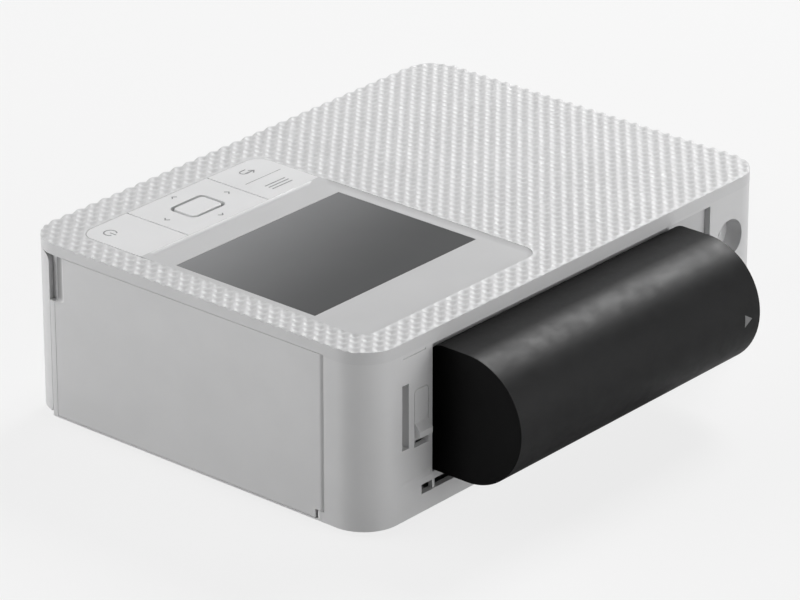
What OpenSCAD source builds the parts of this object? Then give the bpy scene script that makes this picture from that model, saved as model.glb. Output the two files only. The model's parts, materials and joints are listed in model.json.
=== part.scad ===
// Compact photo printer that prints small photographs from a ribbon cassette.
// X runs to the user's right, Y runs to the back, Z runs up from the table.
// The origin is on the table under the middle of the printer and its battery.
// Sizes are in millimetres.

/* [Body] */
// Width between the two sides
body_w = 182.2; // [180:0.1:200]
// Depth from the front cover to the flat back, without the battery
body_d = 133; // [130:0.1:150]
// Height from the table to the top of the lid
body_h = 57.6; // [57:0.1:66]
// Radius of the four upright corners
corner_r = 12; // [9:0.5:14]
// Thickness of the outer mouldings
wall = 2; // [1.6:0.1:2.2]
// Height of the lid's side from the seam up
lid_h = 3.7; // [3.4:0.1:5]
// Thickness of the lid's top plate
lid_plate = 2; // [1.6:0.1:2.4]
// Gap at the seams between outer mouldings
seam = 0.15; // [0.1:0.05:0.25]
// Thickness of the base plate
base_plate_t = 2; // [1.6:0.1:2.4]
// Height of the rubber feet below the case
foot_h = 1.7; // [1.4:0.1:2.2]
// Radius of the rubber feet
foot_r = 5; // [4:0.5:6.5]

/* [Front cover] */
// Depth of the cover from its front face to its side seam
cover_depth = 9.85; // [8.5:0.05:11]
// Height of the cover's lower edge above the table
cover_bottom = 3; // [2.8:0.1:3.6]
// Radius of the two top corners at the side seams
cover_corner_r = 2.8; // [2:0.1:5]
// Distance of the hinge axis behind the front face
cover_axis_in = 4.6; // [4.3:0.1:4.8]
// Height of the hinge axis above the table
cover_axis_z = 5.3; // [5:0.1:5.6]

/* [Ink door] */
// Distance of the door's free edge behind the front face
door_front_in = 12.1; // [11.6:0.1:14]
// Distance of the door's hinge edge from the flat back
door_rear_in = 16.6; // [15:0.1:20]
// Height of the door's lower edge above the table
door_bottom = 2.35; // [2.3:0.05:2.6]
// Radius of the hinge knuckle along the door's rear edge
knuckle_r = 1.5; // [1.3:0.1:1.6]
// Radius of the steel hinge pin
door_pin_r = 0.6; // [0.5:0.05:0.8]
// Height of the finger notch below the lid seam
notch_h = 14.6; // [10:0.2:24]
// Width of the finger scoop in the door
scoop_w = 3.6; // [2.5:0.1:6]
// Depth of the finger scoop at the door's free edge
scoop_depth = 1.3; // [0.8:0.1:1.5]

/* [Display and keys] */
// Width of the recessed panel in the lid
panel_w = 77.65; // [77:0.05:84]
// Depth of the panel with its row of keys
panel_d = 110.35; // [106:0.05:112]
// Distance of the panel from the right side
panel_right_in = 9.95; // [8:0.05:12]
// Distance of the panel from the front face
panel_front_in = 12.4; // [11.5:0.1:14]
// Radius of the panel's corners
panel_r = 5.5; // [3:0.1:8]
// Depth of the row of keys
key_row_d = 25; // [20:0.1:28]
// Width of the menu and back key
menu_key_w = 22.5; // [16:0.1:26]
// Width of the power key
power_key_w = 20.5; // [14:0.1:24]
// Width of the confirm key inside the arrow plate
ok_w = 12.6; // [9:0.1:16]
// Depth of the confirm key
ok_d = 8.5; // [6:0.1:12]
// Width of the groove round the confirm key
ok_groove = 1.2; // [0.8:0.1:2]
// How far a key travels
key_travel = 0.35; // [0.2:0.05:0.4]
// Depth of the dished display frame
dish_depth = 0.94; // [0.5:0.02:1.2]
// Run of the dish's sloping sides
dish_run = 1.63; // [1:0.01:2.4]
// Width of the display window
lcd_w = 70.6; // [60:0.1:72]
// Depth of the display window
lcd_d = 53.4; // [44:0.1:58]
// Distance of the window behind the key row
lcd_front_in = 10.75; // [7:0.05:14]

/* [Battery and bay] */
// Length of the battery pack
battery_len = 110.1; // [100:0.1:111]
// Height of the battery pack
battery_h = 39.5; // [38.4:0.1:40]
// Straight part of the battery's sides behind the flat back
battery_straight = 12.35; // [10:0.05:18]
// Wall of the battery's shell
battery_wall = 1.5; // [1.2:0.1:1.6]
// Distance of the battery's top below the top of the lid
battery_drop = 4.75; // [4.6:0.05:5.2]
// Distance of the bay's right wall from the right side
bay_right_in = 27.5; // [26.5:0.1:29]
// How far the battery slides before it comes off
battery_travel = 16.6; // [14:0.1:16.8]
// Clearance round the battery in its bay
battery_gap = 0.25; // [0.15:0.05:0.3]
// Radius of one cell
cell_r = 8.3; // [7.6:0.1:8.4]
// Length of one cell
cell_len = 50; // [45:0.5:52]

/* [Back panel details] */
// Radius of the power socket's recess
jack_r = 6.2; // [5:0.1:7]
// Depth of the power socket's recess
jack_depth = 5.7; // [4:0.1:7]
// Distance of the socket's axis from the left side
jack_left_in = 17.45; // [16.8:0.05:18]
// Distance of the socket's axis below the top of the lid
jack_drop = 18.75; // [15:0.05:24]
// Width of the strap slot
strap_w = 2.9; // [2:0.1:3.6]
// Height of the strap slot
strap_h = 20.2; // [14:0.1:24]
// Width of the latch slider
latch_w = 5.8; // [4.5:0.1:6]
// Height of the latch slider
latch_h = 15.6; // [12:0.1:18]
// How far the latch slides down
latch_travel = 2; // [1:0.1:2.4]
// Height of the latch's finger grip above the slider
latch_grip = 1.8; // [1:0.1:2.4]
// Width of the rear paper slot
paper_slot_w = 108.4; // [104:0.2:112]
// Height of the rear paper slot
paper_slot_h = 3; // [2:0.1:3.6]
// Height of the slot's lower lip above the bottom of the case
paper_slot_rise = 5.65; // [4.6:0.05:6.2]

/* [Print engine] */
// Distance of the right side plate from the right side
engine_right_in = 19.1; // [18.4:0.1:20]
// Clear width between the side plates
engine_w = 117; // [116:0.2:121]
// Thickness of the steel side plates
plate_t = 1.2; // [0.8:0.1:1.5]
// Height of the paper path above the base plate at the print line
path_h = 10.8; // [10.4:0.1:11.4]
// Radius of the platen roller
platen_r = 4.5; // [3.5:0.1:5]
// Radius of the feed roller
feed_r = 3; // [2.6:0.1:3.4]
// Distance of the feed roller behind the print line
feed_back = 20; // [18.6:0.1:21.5]
// Radius of the pinch roller
pinch_r = 2; // [1.8:0.1:2.2]
// Radius of the pickup tyres
pickup_r = 5; // [4.6:0.1:5.3]
// Radius of the driven shafts
shaft_r = 2; // [1.8:0.1:2.2]
// Running clearance of a shaft in its bore
run_gap = 0.05; // [0.02:0.01:0.08]
// Distance of each ribbon spool from the print line
spool_out = 30; // [29.6:0.1:31]
// Height of the ribbon spools above the base plate
spool_h = 32.8; // [32.2:0.1:33.2]
// Outer radius of the ribbon cassette's spool housings
housing_r = 11; // [10.4:0.1:11.2]
// Wall of the ribbon cassette
housing_wall = 1; // [0.8:0.1:1.2]
// How far the print head swings down, in degrees
head_swing = 3; // [1:0.1:3.2]

/* [Gears and motor] */
// Size of one tooth, as pitch diameter over teeth
gear_module = 0.6; // [0.56:0.01:0.62]
// Teeth on the feed roller's gear
feed_teeth = 18; // [17:1:19]
// Teeth on the large idler
idler_teeth = 42; // [40:1:43]
// Teeth on the second idler
second_teeth = 40; // [38:1:41]
// Teeth on the ribbon's drive gear
takeup_teeth = 24; // [22:1:26]
// Teeth on the pickup roller's gear
pickup_teeth = 20; // [18:1:21]
// Teeth on the motor's pinion
pinion_teeth = 18; // [17:1:19]
// Width of the gears along their axes
gear_w = 4; // [3:0.1:4.4]
// Radius of the motor's can
motor_r = 10; // [9:0.1:10.4]
// Length of the motor's can
motor_len = 27; // [22:0.5:30]

/* [Hidden] */
$fn = 48;

// Named overrun that carries every cut past its face
cut = 1;
// Play between pieces that lie against each other without touching
play = 0.2;
steel_grey = [0.68, 0.69, 0.71];
case_grey = [0.87, 0.87, 0.88];
inner_grey = [0.42, 0.43, 0.45];
part_black = [0.12, 0.12, 0.13];
board_green = [0.1, 0.34, 0.22];
gear_cream = [0.9, 0.88, 0.8];

// Places of the outer faces, measured from the middle of the body
xr = body_w/2;
xl = -body_w/2;
yf = -body_d/2;
yb = body_d/2;
battery_out = battery_straight + battery_h/2;
mid_y = -battery_out/2;
floor_z = foot_h + base_plate_t;
lid_z = body_h - lid_h;
lid_under = body_h - lid_plate;
case_top = lid_z - seam;
case_y0 = yf + cover_depth + seam;

// The front cover and the panel behind it
cover_y = yf + cover_axis_in;
cover_top = case_top;
cover_pin_r = 1;
cover_ear_r = 2;
cover_ear_w = 4;
cover_ear_in = 17;
front_panel_t = 2;
front_panel_y1 = case_y0;
front_panel_y0 = case_y0 - front_panel_t;

// The ink door and its hinge
door_y0 = yf + door_front_in;
door_y1 = yb - door_rear_in;
door_x0 = xr - wall;
door_axis = [xr - knuckle_r, door_y1 - knuckle_r];
door_top = case_top;
lug_h = 2.5;
lug_gap = 0.2;
pin_in = 1.6;
pin_z0 = foot_h + 2*seam;
pin_z1 = lid_z + pin_in;
door_rib_t = 1;
door_rib_h = 1.6;
door_rib_in = 7;
pillar_return = 9;
pillar_depth = 1.9;
sill_h = door_bottom - seam - foot_h;
sill_rib_h = 2.6;
sill_rib_t = 2.4;

// The panel in the lid
panel_x1 = xr - panel_right_in;
panel_x0 = panel_x1 - panel_w;
panel_y0 = yf + panel_front_in;
panel_y1 = panel_y0 + panel_d;
panel_mid = [(panel_x0 + panel_x1)/2, (panel_y0 + panel_y1)/2];
row_y1 = panel_y0 + key_row_d;
menu_x1 = panel_x0 + menu_key_w;
power_x0 = panel_x1 - power_key_w;
key_gap = 0.2;
key_top = body_h - key_gap;
key_under = lid_under;
key_r = 2.5;
ok_mid = [(menu_x1 + power_x0)/2, (panel_y0 + row_y1)/2];
ok_hole_r = 2.5;
plunger_r = 1.6;
plunger_len = 2;
switch_h = 0.8;
switch_w = 4.5;
key_board_t = 1.2;
key_board_top = key_under - plunger_len - key_travel - play/2 - switch_h;
key_board_lap = 3.5;
key_post_r = 1.6;
bezel_top = body_h - play/2;
dish_z = body_h - dish_depth;
bezel_lap = 2;
bezel_flange = 1.5;
bezel_floor = 1.1;
lcd_mid = [panel_mid.x, row_y1 + lcd_front_in + lcd_d/2];
lcd_module_t = 2.4;
lcd_lap = 2.6;
dish_r = 4;

// The battery bay and the battery
bay_x1 = xr - bay_right_in;
battery_x1 = bay_x1 - battery_gap;
battery_x0 = battery_x1 - battery_len;
bay_x0 = battery_x0 - battery_travel - 2*battery_gap;
battery_top = body_h - battery_drop;
battery_z = battery_top - battery_h/2;
battery_bottom = battery_top - battery_h;
battery_back_r = 5;
battery_y0 = yb - wall + battery_gap;
battery_arc_y = yb + battery_straight;
bay_z0 = battery_bottom - 2*battery_gap;
bay_z1 = battery_top - play;
bay_plate_t = 2;
bay_plate_lap = 2;
bay_plate_y1 = yb - wall;
bay_plate_y0 = bay_plate_y1 - bay_plate_t;
back_plate_t = 1.6;
hook_neck_h = 1.8;
hook_head_h = 3.4;
hook_len = 6;
hook_head_t = 1.2;
hook_gap = 0.3;
hook_in = 16;
hook_rise = 11;
terminal_w = 14;
terminal_h = 8;
terminal_in = 52;
blade_count = 5;
blade_w = 1.2;

// The latch beside the bay
latch_wall = 1.8;
latch_drop = 11.8;
latch_x0 = bay_x1 + latch_wall;
latch_mid = latch_x0 + latch_w/2;
latch_top = bay_z1 - latch_drop;
latch_bottom = latch_top - latch_h;
latch_flange = 1.5;
latch_flange_t = 1.4;
latch_r = 1.2;
grip_h = 5;
grip_rise = 0.6;
tongue_h = 3.6;
tongue_rise = 6;
tongue_y1 = yb - 0.3*wall;
spring_r = 1.7;
spring_wire = 0.25;
spring_turns = 6;
spring_len = 6;
spring_steps = 14;

// Socket, strap slot and paper slot in the back
jack_x = xl + jack_left_in;
jack_z = body_h - jack_drop;
jack_wall = 1.2;
jack_body = 13;
jack_body_d = 11;
jack_pin_r = 0.8;
jack_barrel_r = 3.1;
strap_off = 2.5;
strap_drop = 1.4;
strap_depth = 4;
strap_x0 = latch_x0 + latch_w + strap_off;
strap_z0 = latch_bottom - strap_drop;
groove = 0.35;
groove_h = 0.6;
groove_in = 2.9;
groove_len = 10;
hollow_r = 2.4;
hollow_depth = 0.22;
slot_off = 3.8;
slot_x1 = xr - engine_right_in - slot_off;
slot_x0 = slot_x1 - paper_slot_w;
slot_z0 = foot_h + paper_slot_rise;
slot_z1 = slot_z0 + paper_slot_h;
slot_rib_t = 1;
slot_rib_in = 5.2;

// The print engine
right_in = xr - engine_right_in;
left_in = right_in - engine_w;
plate_h = 46;
plate_margin = 2;
plate_z1 = floor_z + plate_h;
plate_front_y = -(spool_out + housing_r + plate_margin);
path_z = floor_z + path_h;
paper_t = 0.3;
roll_in = 6.5;
roll_x0 = left_in + roll_in;
roll_x1 = right_in - roll_in;
platen = [0, path_z - platen_r];
feed = [feed_back, path_z - play - feed_r];
pinch = [feed_back, path_z - play + paper_t + pinch_r];
pinch_end_r = 1;
bush_r = 3.4;
bush_flange_r = 3.9;
bush_flange_t = 0.6;
supply = [spool_out, floor_z + spool_h];
takeup = [-spool_out, floor_z + spool_h];
spool_core_r = 4;
spool_end_r = 2.6;
supply_roll_r = 8.2;
takeup_roll_r = 5.4;
hub_r = 4;
guide_out = 12;
guide_rise = 1.9;
guide = [guide_out, path_z + guide_rise];
guide_r = 1.1;
film_t = 0.25;
film_gap = 0.08;
neck_r = 1.5;
neck_top_r = 5;
cassette_left_gap = 2.6;
cassette_out = 8;
cassette_x0 = left_in + cassette_left_gap;
cassette_x1 = right_in + cassette_out;
cassette_end_t = 1.4;
peg_share = 0.4;
peg_r = 1.2;
grip_len = 2.6;
aperture_gap = 0.6;
frame_gap = 0.8;
frame_x0 = cassette_x1 + grip_len + frame_gap;
frame_t = 1.4;

// The print head above the print line
head_pivot_out = 45.5;
head_pivot_h = 43;
head_pivot = [head_pivot_out, floor_z + head_pivot_h];
head_shaft_r = 1.5;
head_in = 5;
head_w = 14;
head_plate_t = 1;
head_plate_h = 46;
head_plate_z = floor_z + head_plate_h;
plate_tail = 6.5;
plate_rear_y = head_pivot_out + plate_tail;
head_rest = 3.4;
head_bar_h = 1.5;
head_glaze_r = 1;
sink_base_h = 4;
fin_t = 1.2;
fin_pitch = 6;
head_tab_t = 1.2;

// Rollers and tray at the front
pickup_z = path_z + play/2 + pickup_r;
tray_t = 1;
tray_front_h = 32;
tray_step_y = plate_front_y + plate_margin/4;
tyre_w = 10;
tyre_pitch = 26;

// Gear train on the left plate
mesh_gap = 0.05;
pressure_angle = 20;
backlash = 0.06;
gear_gap = 0.8;
gear_x1 = left_in - plate_t - gear_gap;
gear_x0 = gear_x1 - gear_w;
idler_dir = 130;
pinion_dir = 62;
stud_r = 1.5;
bracket_gap = 1;
bracket_x1 = gear_x0 - bracket_gap;
bracket_t = 1.2;
function reach(a, b) = gear_module*(a + b)/2 + mesh_gap;
function polar(p, r, a) = [p.x + r*cos(a), p.y + r*sin(a)];
function heading(p, q) = atan2(q.y - p.y, q.x - p.x);
function corner_at(p, q, rp, rq) =
  let(d = norm(q - p), a = acos((rp*rp + d*d - rq*rq)/(2*rp*d)))
  polar(p, rp, heading(p, q) + a);
function meshed(turn, a, b, dir) = dir + 180 - (0.5 - (dir - turn)*a/360)*360/b;
idler = polar(feed, reach(feed_teeth, idler_teeth), idler_dir);
second = corner_at(idler, takeup, reach(idler_teeth, second_teeth), reach(second_teeth, takeup_teeth));
pickup_reach = reach(second_teeth, pickup_teeth);
pickup = [second.x - sqrt(pickup_reach*pickup_reach - (second.y - pickup_z)*(second.y - pickup_z)), pickup_z];
tray_tail = 12.4;
tray_rear_y = pickup.x + tray_tail;
motor = polar(idler, reach(idler_teeth, pinion_teeth), pinion_dir);
idler_turn = 0;
feed_turn = meshed(idler_turn, idler_teeth, feed_teeth, heading(idler, feed));
second_turn = meshed(idler_turn, idler_teeth, second_teeth, heading(idler, second));
pinion_turn = meshed(idler_turn, idler_teeth, pinion_teeth, heading(idler, motor));
takeup_turn = meshed(second_turn, second_teeth, takeup_teeth, heading(second, takeup));
pickup_turn = meshed(second_turn, second_teeth, pickup_teeth, heading(second, pickup));

// Screws through the base
boss_r = 3;
screw_r = 1.2;
screw_head_r = 2.5;
screw_head_h = 1.1;
screw_len = 9;
screw_in = 9;
screw_rear_in = 16;
boss_gap = 0.5;
screw_left_x = xl + wall + boss_r - boss_gap;
screw_places = [[screw_left_x, case_y0 + screw_in, case_y0 + screw_in + boss_r],
  [screw_left_x, yb - screw_rear_in, yb - screw_rear_in + boss_r],
  [xr - screw_in, yb - screw_in, yb - wall/2],
  [xr - screw_in, case_y0 + boss_r + boss_gap, case_y0 + boss_r + boss_gap]];
foot_in = 20;
foot_places = [for (sx = [-1, 1], sy = [-1, 1]) [sx*(body_w/2 - foot_in), sy*(body_d/2 - foot_in)]];

// Boards and sockets on the left
board_t = 1.6;
post_h = 4;
board_gap = 0.6;
board_rear_in = 12.5;
board_step = 9;
board_z = floor_z + post_h;
board_x0 = screw_left_x + boss_r + board_gap;
board_x1 = bracket_x1 - bracket_t - board_gap;
board_y0 = front_panel_y1 + board_gap;
board_y1 = yb - board_rear_in;
board_wide_x1 = left_in - plate_t - board_gap;
board_step_y = board_y0 + board_step;
card_w = 24.4;
card_len = 26;
card_h = 3;
card_x0 = board_x0 + board_gap;
port_w = 8.6;
port_h = 3.3;
port_len = 7.5;
port_x0 = board_wide_x1 - board_gap - port_w;
mouth_gap = 0.4;
standoff_r = 2.2;
power_board_y = yb - jack_depth - jack_body_d - board_t;

// Puts a shape drawn about the body's middle in its place behind the origin
module placed() translate([0, mid_y, 0]) children();

// Block between two values on each axis
module block(x, y, z) translate([x[0], y[0], z[0]]) cube([x[1] - x[0], y[1] - y[0], z[1] - z[0]]);

// Round bar along X between two values, with its axis at p in Y and Z
module bar(x, p, r) translate([x[0], p.x, p.y]) rotate([0, 90, 0]) cylinder(r = r, h = x[1] - x[0]);

// Sheet along X from an outline drawn in Y and Z
module side_sheet(x) translate([x[0], 0, 0]) rotate([90, 0, 90]) linear_extrude(x[1] - x[0]) children();

// Rectangle about its own middle with round corners
module round_rect(size, r) {
  square([size.x - 2*r, size.y], center = true);
  square([size.x, size.y - 2*r], center = true);
  for (sx = [-1, 1], sy = [-1, 1]) translate([sx*(size.x/2 - r), sy*(size.y/2 - r)]) circle(r);
}

// Outline of the body seen from above, set in from the outer faces
module body_outline(inset) round_rect([body_w - 2*inset, body_d - 2*inset], corner_r - inset);

// Upright wall of the body between two heights
module body_ring(z) difference() {
  translate([0, 0, z[0]]) linear_extrude(z[1] - z[0]) body_outline(0);
  translate([0, 0, z[0] - cut]) linear_extrude(z[1] - z[0] + 2*cut) body_outline(wall);
}

// Involute gear outline with its first tooth turned to a given angle
function roll(r, base) = let(a = acos(min(1, base/r))) tan(a)*180/PI - a;
function half_tooth(r, n) = let(pitch = gear_module*n/2, base = pitch*cos(pressure_angle))
  90/n - backlash/pitch*90/PI + roll(pitch, base) - roll(max(r, base), base);
function tooth_radii(n) = let(pitch = gear_module*n/2, base = pitch*cos(pressure_angle),
  root = pitch - 1.25*gear_module, tip = pitch + gear_module, start = max(root, base))
  [root, start, (start + pitch)/2, pitch, (pitch + tip)/2, tip];
module gear_outline(n, turn) polygon([for (k = [0:n - 1])
  let(radii = tooth_radii(n), mid = turn + 360*k/n)
  each concat(
    [for (r = radii) r*[cos(mid - half_tooth(r, n)), sin(mid - half_tooth(r, n))]],
    [for (i = [len(radii) - 1:-1:0]) let(r = radii[i])
      r*[cos(mid + half_tooth(r, n)), sin(mid + half_tooth(r, n))]])]);

// Spur gear in the gear plane with a bore and a thinner web
module spur(p, n, turn, bore, hub) {
  web_in = gear_w/4;
  root = gear_module*(n/2 - 1.25);
  translate([gear_x0, p.x, p.y]) rotate([90, 0, 90]) difference() {
    linear_extrude(gear_w) gear_outline(n, turn);
    translate([0, 0, -cut]) cylinder(r = bore, h = gear_w + 2*cut);
    if (root > hub + 4*gear_module) for (z = [-cut, gear_w - web_in]) difference() {
      translate([0, 0, z]) cylinder(r = root - 1.5*gear_module, h = web_in + cut);
      translate([0, 0, z - cut]) cylinder(r = hub, h = web_in + 3*cut);
    }
  }
}

// Coil spring standing on a point, as one swept mesh
module coil(r, wire, turns, length) {
  sides = 8;
  rings = turns*spring_steps;
  points = [for (i = [0:rings], s = [0:sides - 1])
    let(a = 360*i/spring_steps, b = 360*s/sides, q = r + wire*cos(b))
    [q*cos(a), q*sin(a), wire + (length - 2*wire)*i/rings + wire*sin(b)]];
  sweep = [for (i = [0:rings - 1], s = [0:sides - 1])
    let(t = (s + 1)%sides) [i*sides + s, i*sides + t, (i + 1)*sides + t, (i + 1)*sides + s]];
  first = [for (s = [sides - 1:-1:0]) s];
  last = [for (s = [0:sides - 1]) rings*sides + s];
  polyhedron(points, concat([first], [for (f = sweep) [f[3], f[2], f[1], f[0]]], [last]));
}

// Side walls and back of the case in one moulding, open at the front and bottom
module main_case() color(case_grey) placed() difference() {
  union() {
    difference() {
      body_ring([foot_h, case_top]);
      block([xl - cut, xr + cut], [yf - cut, case_y0], [0, body_h]);
      block([xr - corner_r, xr + cut], [door_y0 - seam, door_y1 + seam], [foot_h + sill_h, body_h]);
    }
    case_pillar();
    case_sill();
    case_bosses();
    hinge_lug();
    latch_ledge();
    jack_tube();
    strap_pocket();
  }
  block([xr - pillar_depth, xr + cut], [case_y0 - cut, door_y0], [case_top - notch_h, body_h]);
  bay_aperture();
  latch_aperture();
  block([strap_x0, strap_x0 + strap_w], [yb - strap_depth, yb + cut], [strap_z0, strap_z0 + strap_h]);
  rear_slot();
  for (p = screw_places) translate([p.x, p.y, 0]) cylinder(r = screw_head_r + play, h = foot_h + screw_head_h);
  translate([jack_x, yb + cut, jack_z]) rotate([90, 0, 0]) cylinder(r = jack_r, h = jack_depth + 2*cut);
  panel_grooves();
  door_pin_bore();
}

// Inner return of the narrow pillar between the front cover and the ink door
module case_pillar() {
  block([xr - pillar_return, xr - wall/2], [case_y0, door_y0 - seam], [foot_h, case_top]);
}

// Thin sill below the ink door with a stiffer rib behind it
module case_sill() {
  block([xr - wall - sill_rib_t, xr - wall/2], [door_y0 - wall, door_y1 + wall], [foot_h, foot_h + sill_h]);
  block([xr - wall - sill_rib_t, xr - wall - play], [door_y0 - wall, door_y1 + wall],
    [foot_h, foot_h + sill_rib_h]);
}

// Screw bosses that tie the base plate to the case
module case_bosses() for (p = screw_places) {
  difference() {
    union() {
      translate([p.x, p.y, floor_z]) cylinder(r = boss_r, h = screw_len + wall);
      block([p.x - wall/2, p.x + wall/2], [p.y - wall/2, p.z], [floor_z, floor_z + screw_len + wall]);
    }
    translate([p.x, p.y, floor_z - cut]) cylinder(r = screw_r + run_gap, h = screw_len + cut);
  }
}

// Lug on the sill that holds the lower end of the ink door's hinge pin
module hinge_lug() {
  z = [foot_h, door_bottom + lug_h];
  translate([door_axis.x, door_axis.y, z[0]]) cylinder(r = knuckle_r, h = z[1] - z[0]);
  block([door_axis.x - knuckle_r, xr - play/2], [door_axis.y, door_y1 + wall], z);
}

module door_pin_bore() translate([door_axis.x, door_axis.y, pin_z0])
  cylinder(r = door_pin_r + run_gap, h = pin_z1 + play - pin_z0);

// Ledge that the latch's spring stands on
module latch_ledge() block([latch_mid - spring_r - wall/2, latch_mid + spring_r + wall/2],
  [latch_spring_y - 2*spring_r - wall/2, yb - wall/2], [latch_spring_z - wall/2, latch_spring_z]);

// Tube behind the power socket's recess
module jack_tube() translate([jack_x, yb - wall/2, jack_z]) rotate([90, 0, 0])
  cylinder(r = jack_r + jack_wall, h = jack_depth - wall/2);

// Closed pocket behind the strap slot
module strap_pocket() block([strap_x0 - wall/2, strap_x0 + strap_w + wall/2], [yb - strap_depth - wall/2, yb - wall/2],
  [strap_z0 - wall/2, strap_z0 + strap_h + wall/2]);

// Rear paper slot with one upright rib that the paper's edge runs along
module rear_slot() {
  rib_x = slot_x1 - slot_rib_in;
  for (x = [[slot_x0, rib_x - slot_rib_t], [rib_x, slot_x1]]) block(x, [yb - 2*wall, yb + cut], [slot_z0, slot_z1]);
  block([slot_x0, slot_x1], [yb - wall/4, yb + cut], [slot_z0, slot_z1]);
}

// Opening that the battery's bay looks out through
module bay_aperture() block([bay_x0, bay_x1], [yb - 2*wall, yb + cut], [bay_z0, bay_z1]);

// Window for the latch slider, and the slit for its tongue
module latch_aperture() {
  win_z0 = latch_bottom - latch_travel - seam;
  translate([0, yb + cut, 0]) rotate([90, 0, 0]) linear_extrude(3*wall) hull() {
    translate([latch_x0 - seam, win_z0]) square([latch_w + 2*seam, latch_h/2]);
    for (x = [latch_x0 + latch_r, latch_x0 + latch_w - latch_r])
      translate([x, latch_top - latch_r]) circle(latch_r + seam, $fn = 32);
  }
  block([bay_x1 - cut, latch_x0 + cut], [yb - 2*wall, tongue_y1 + play],
    [latch_bottom + tongue_rise - latch_travel - play, latch_bottom + tongue_rise + tongue_h + play]);
}

// Short groove below the lid's band and a soft hollow above the paper slot
module panel_grooves() {
  block([bay_x1 + groove_in, bay_x1 + groove_in + groove_len], [yb - groove, yb + cut], [bay_z1 - groove_h, bay_z1]);
  bar([bay_x1 + groove, bay_x1 + groove_in + groove_len], [yb + hollow_r - hollow_depth, bay_z0 + hollow_depth], hollow_r);
}

// Bottom plate with its feet pockets, standoffs and the cover's hinge ears
module base_plate() color(case_grey) placed() difference() {
  union() {
    translate([0, 0, foot_h]) linear_extrude(base_plate_t) intersection() {
      body_outline(wall + seam);
      base_limits();
    }
    for (p = board_posts()) translate([p.x, p.y, floor_z - play]) cylinder(r = standoff_r, h = board_z - floor_z + play);
    base_ears();
  }
  for (p = screw_places) {
    translate([p.x, p.y, foot_h - cut]) cylinder(r = screw_head_r + play, h = screw_head_h + cut);
    translate([p.x, p.y, foot_h - cut]) cylinder(r = screw_r + run_gap, h = base_plate_t + 2*cut);
  }
  base_vents();
  for (p = foot_places) translate([p.x, p.y, foot_h - cut]) cylinder(r = foot_r + play/4, h = cut + base_plate_t/4);
}

// Area that the base plate may fill between the front cover and the door's sill
module base_limits() difference() {
  translate([xl, case_y0 + seam]) square([body_w, body_d]);
  translate([xr - wall - sill_rib_t - seam, door_y0 - wall - seam])
    square([corner_r, door_y1 - door_y0 + 2*wall + 2*seam]);
  translate([xr - pillar_return - seam, yf]) square([corner_r, door_front_in]);
}

// Rows of cooling slots under the boards
module base_vents() {
  vent_count = 7;
  vent_pitch = 5;
  vent_w = 2;
  vent_len = 18;
  for (i = [0:vent_count - 1]) block([left_in - 2*vent_len, left_in - vent_len],
    [i*vent_pitch - vent_w, i*vent_pitch], [foot_h - cut, floor_z + cut]);
}

// Ears that carry the front cover's hinge pins
module base_ears() for (s = [-1, 1]) {
  x0 = s*(body_w/2 - cover_ear_in) - cover_ear_w/2;
  difference() {
    union() {
      bar([x0, x0 + cover_ear_w], [cover_y, cover_axis_z], cover_ear_r);
      block([x0, x0 + cover_ear_w], [cover_y, case_y0 + 2*wall], [cover_axis_z - cover_ear_r/2, cover_axis_z + cover_ear_r]);
      block([x0, x0 + cover_ear_w], [case_y0 + seam, case_y0 + 2*wall], [foot_h + base_plate_t/2, cover_axis_z + cover_ear_r]);
    }
    bar([x0 - cut, x0 + cover_ear_w + cut], [cover_y, cover_axis_z], cover_pin_r + run_gap);
  }
}

function board_posts() = [for (x = [board_x0 + 2*standoff_r, board_x1 - standoff_r],
  y = [board_y0 + 3*standoff_r, board_y1 - 3*standoff_r]) [x, y]];

// Lid with its hole for the display and keys, and tabs that centre it in the case
module top_cover() color(case_grey) placed() {
  difference() {
    translate([0, 0, lid_z]) linear_extrude(lid_h) body_outline(0);
    translate([0, 0, lid_z - cut]) linear_extrude(lid_h - lid_plate + cut) body_outline(wall);
    translate([panel_mid.x, panel_mid.y, lid_z]) linear_extrude(lid_h + cut) round_rect([panel_w, panel_d], panel_r);
    door_pin_bore();
  }
  lid_tabs();
  for (p = key_posts()) translate([p.x, p.y, key_board_top]) cylinder(r = key_post_r, h = lid_under - key_board_top + play);
}

// Tabs that reach down inside the case on the left and at the back
module lid_tabs() {
  tab_w = 12;
  tab_t = 1.2;
  tab_reach = 3;
  tab_count = 3;
  tab_x = xl + wall + seam;
  for (i = [0:tab_count - 1]) {
    y = case_y0 + 2*tab_w + i*(body_d - 5*tab_w)/tab_count;
    block([tab_x, tab_x + tab_t], [y, y + tab_w], [lid_z - tab_reach, lid_under + play]);
    x = xl + 2*tab_w + i*(body_w - 3*tab_w)/tab_count;
    block([x, x + tab_w], [yb - wall - seam - tab_t, yb - wall - seam], [lid_z + seam, lid_under + play]);
  }
}

function key_posts() = [for (x = [panel_x0 - key_board_lap/2, panel_x1 + key_board_lap/2],
  y = [panel_y0 + 2*key_post_r, row_y1 - 2*key_post_r]) [x, y]];

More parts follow.
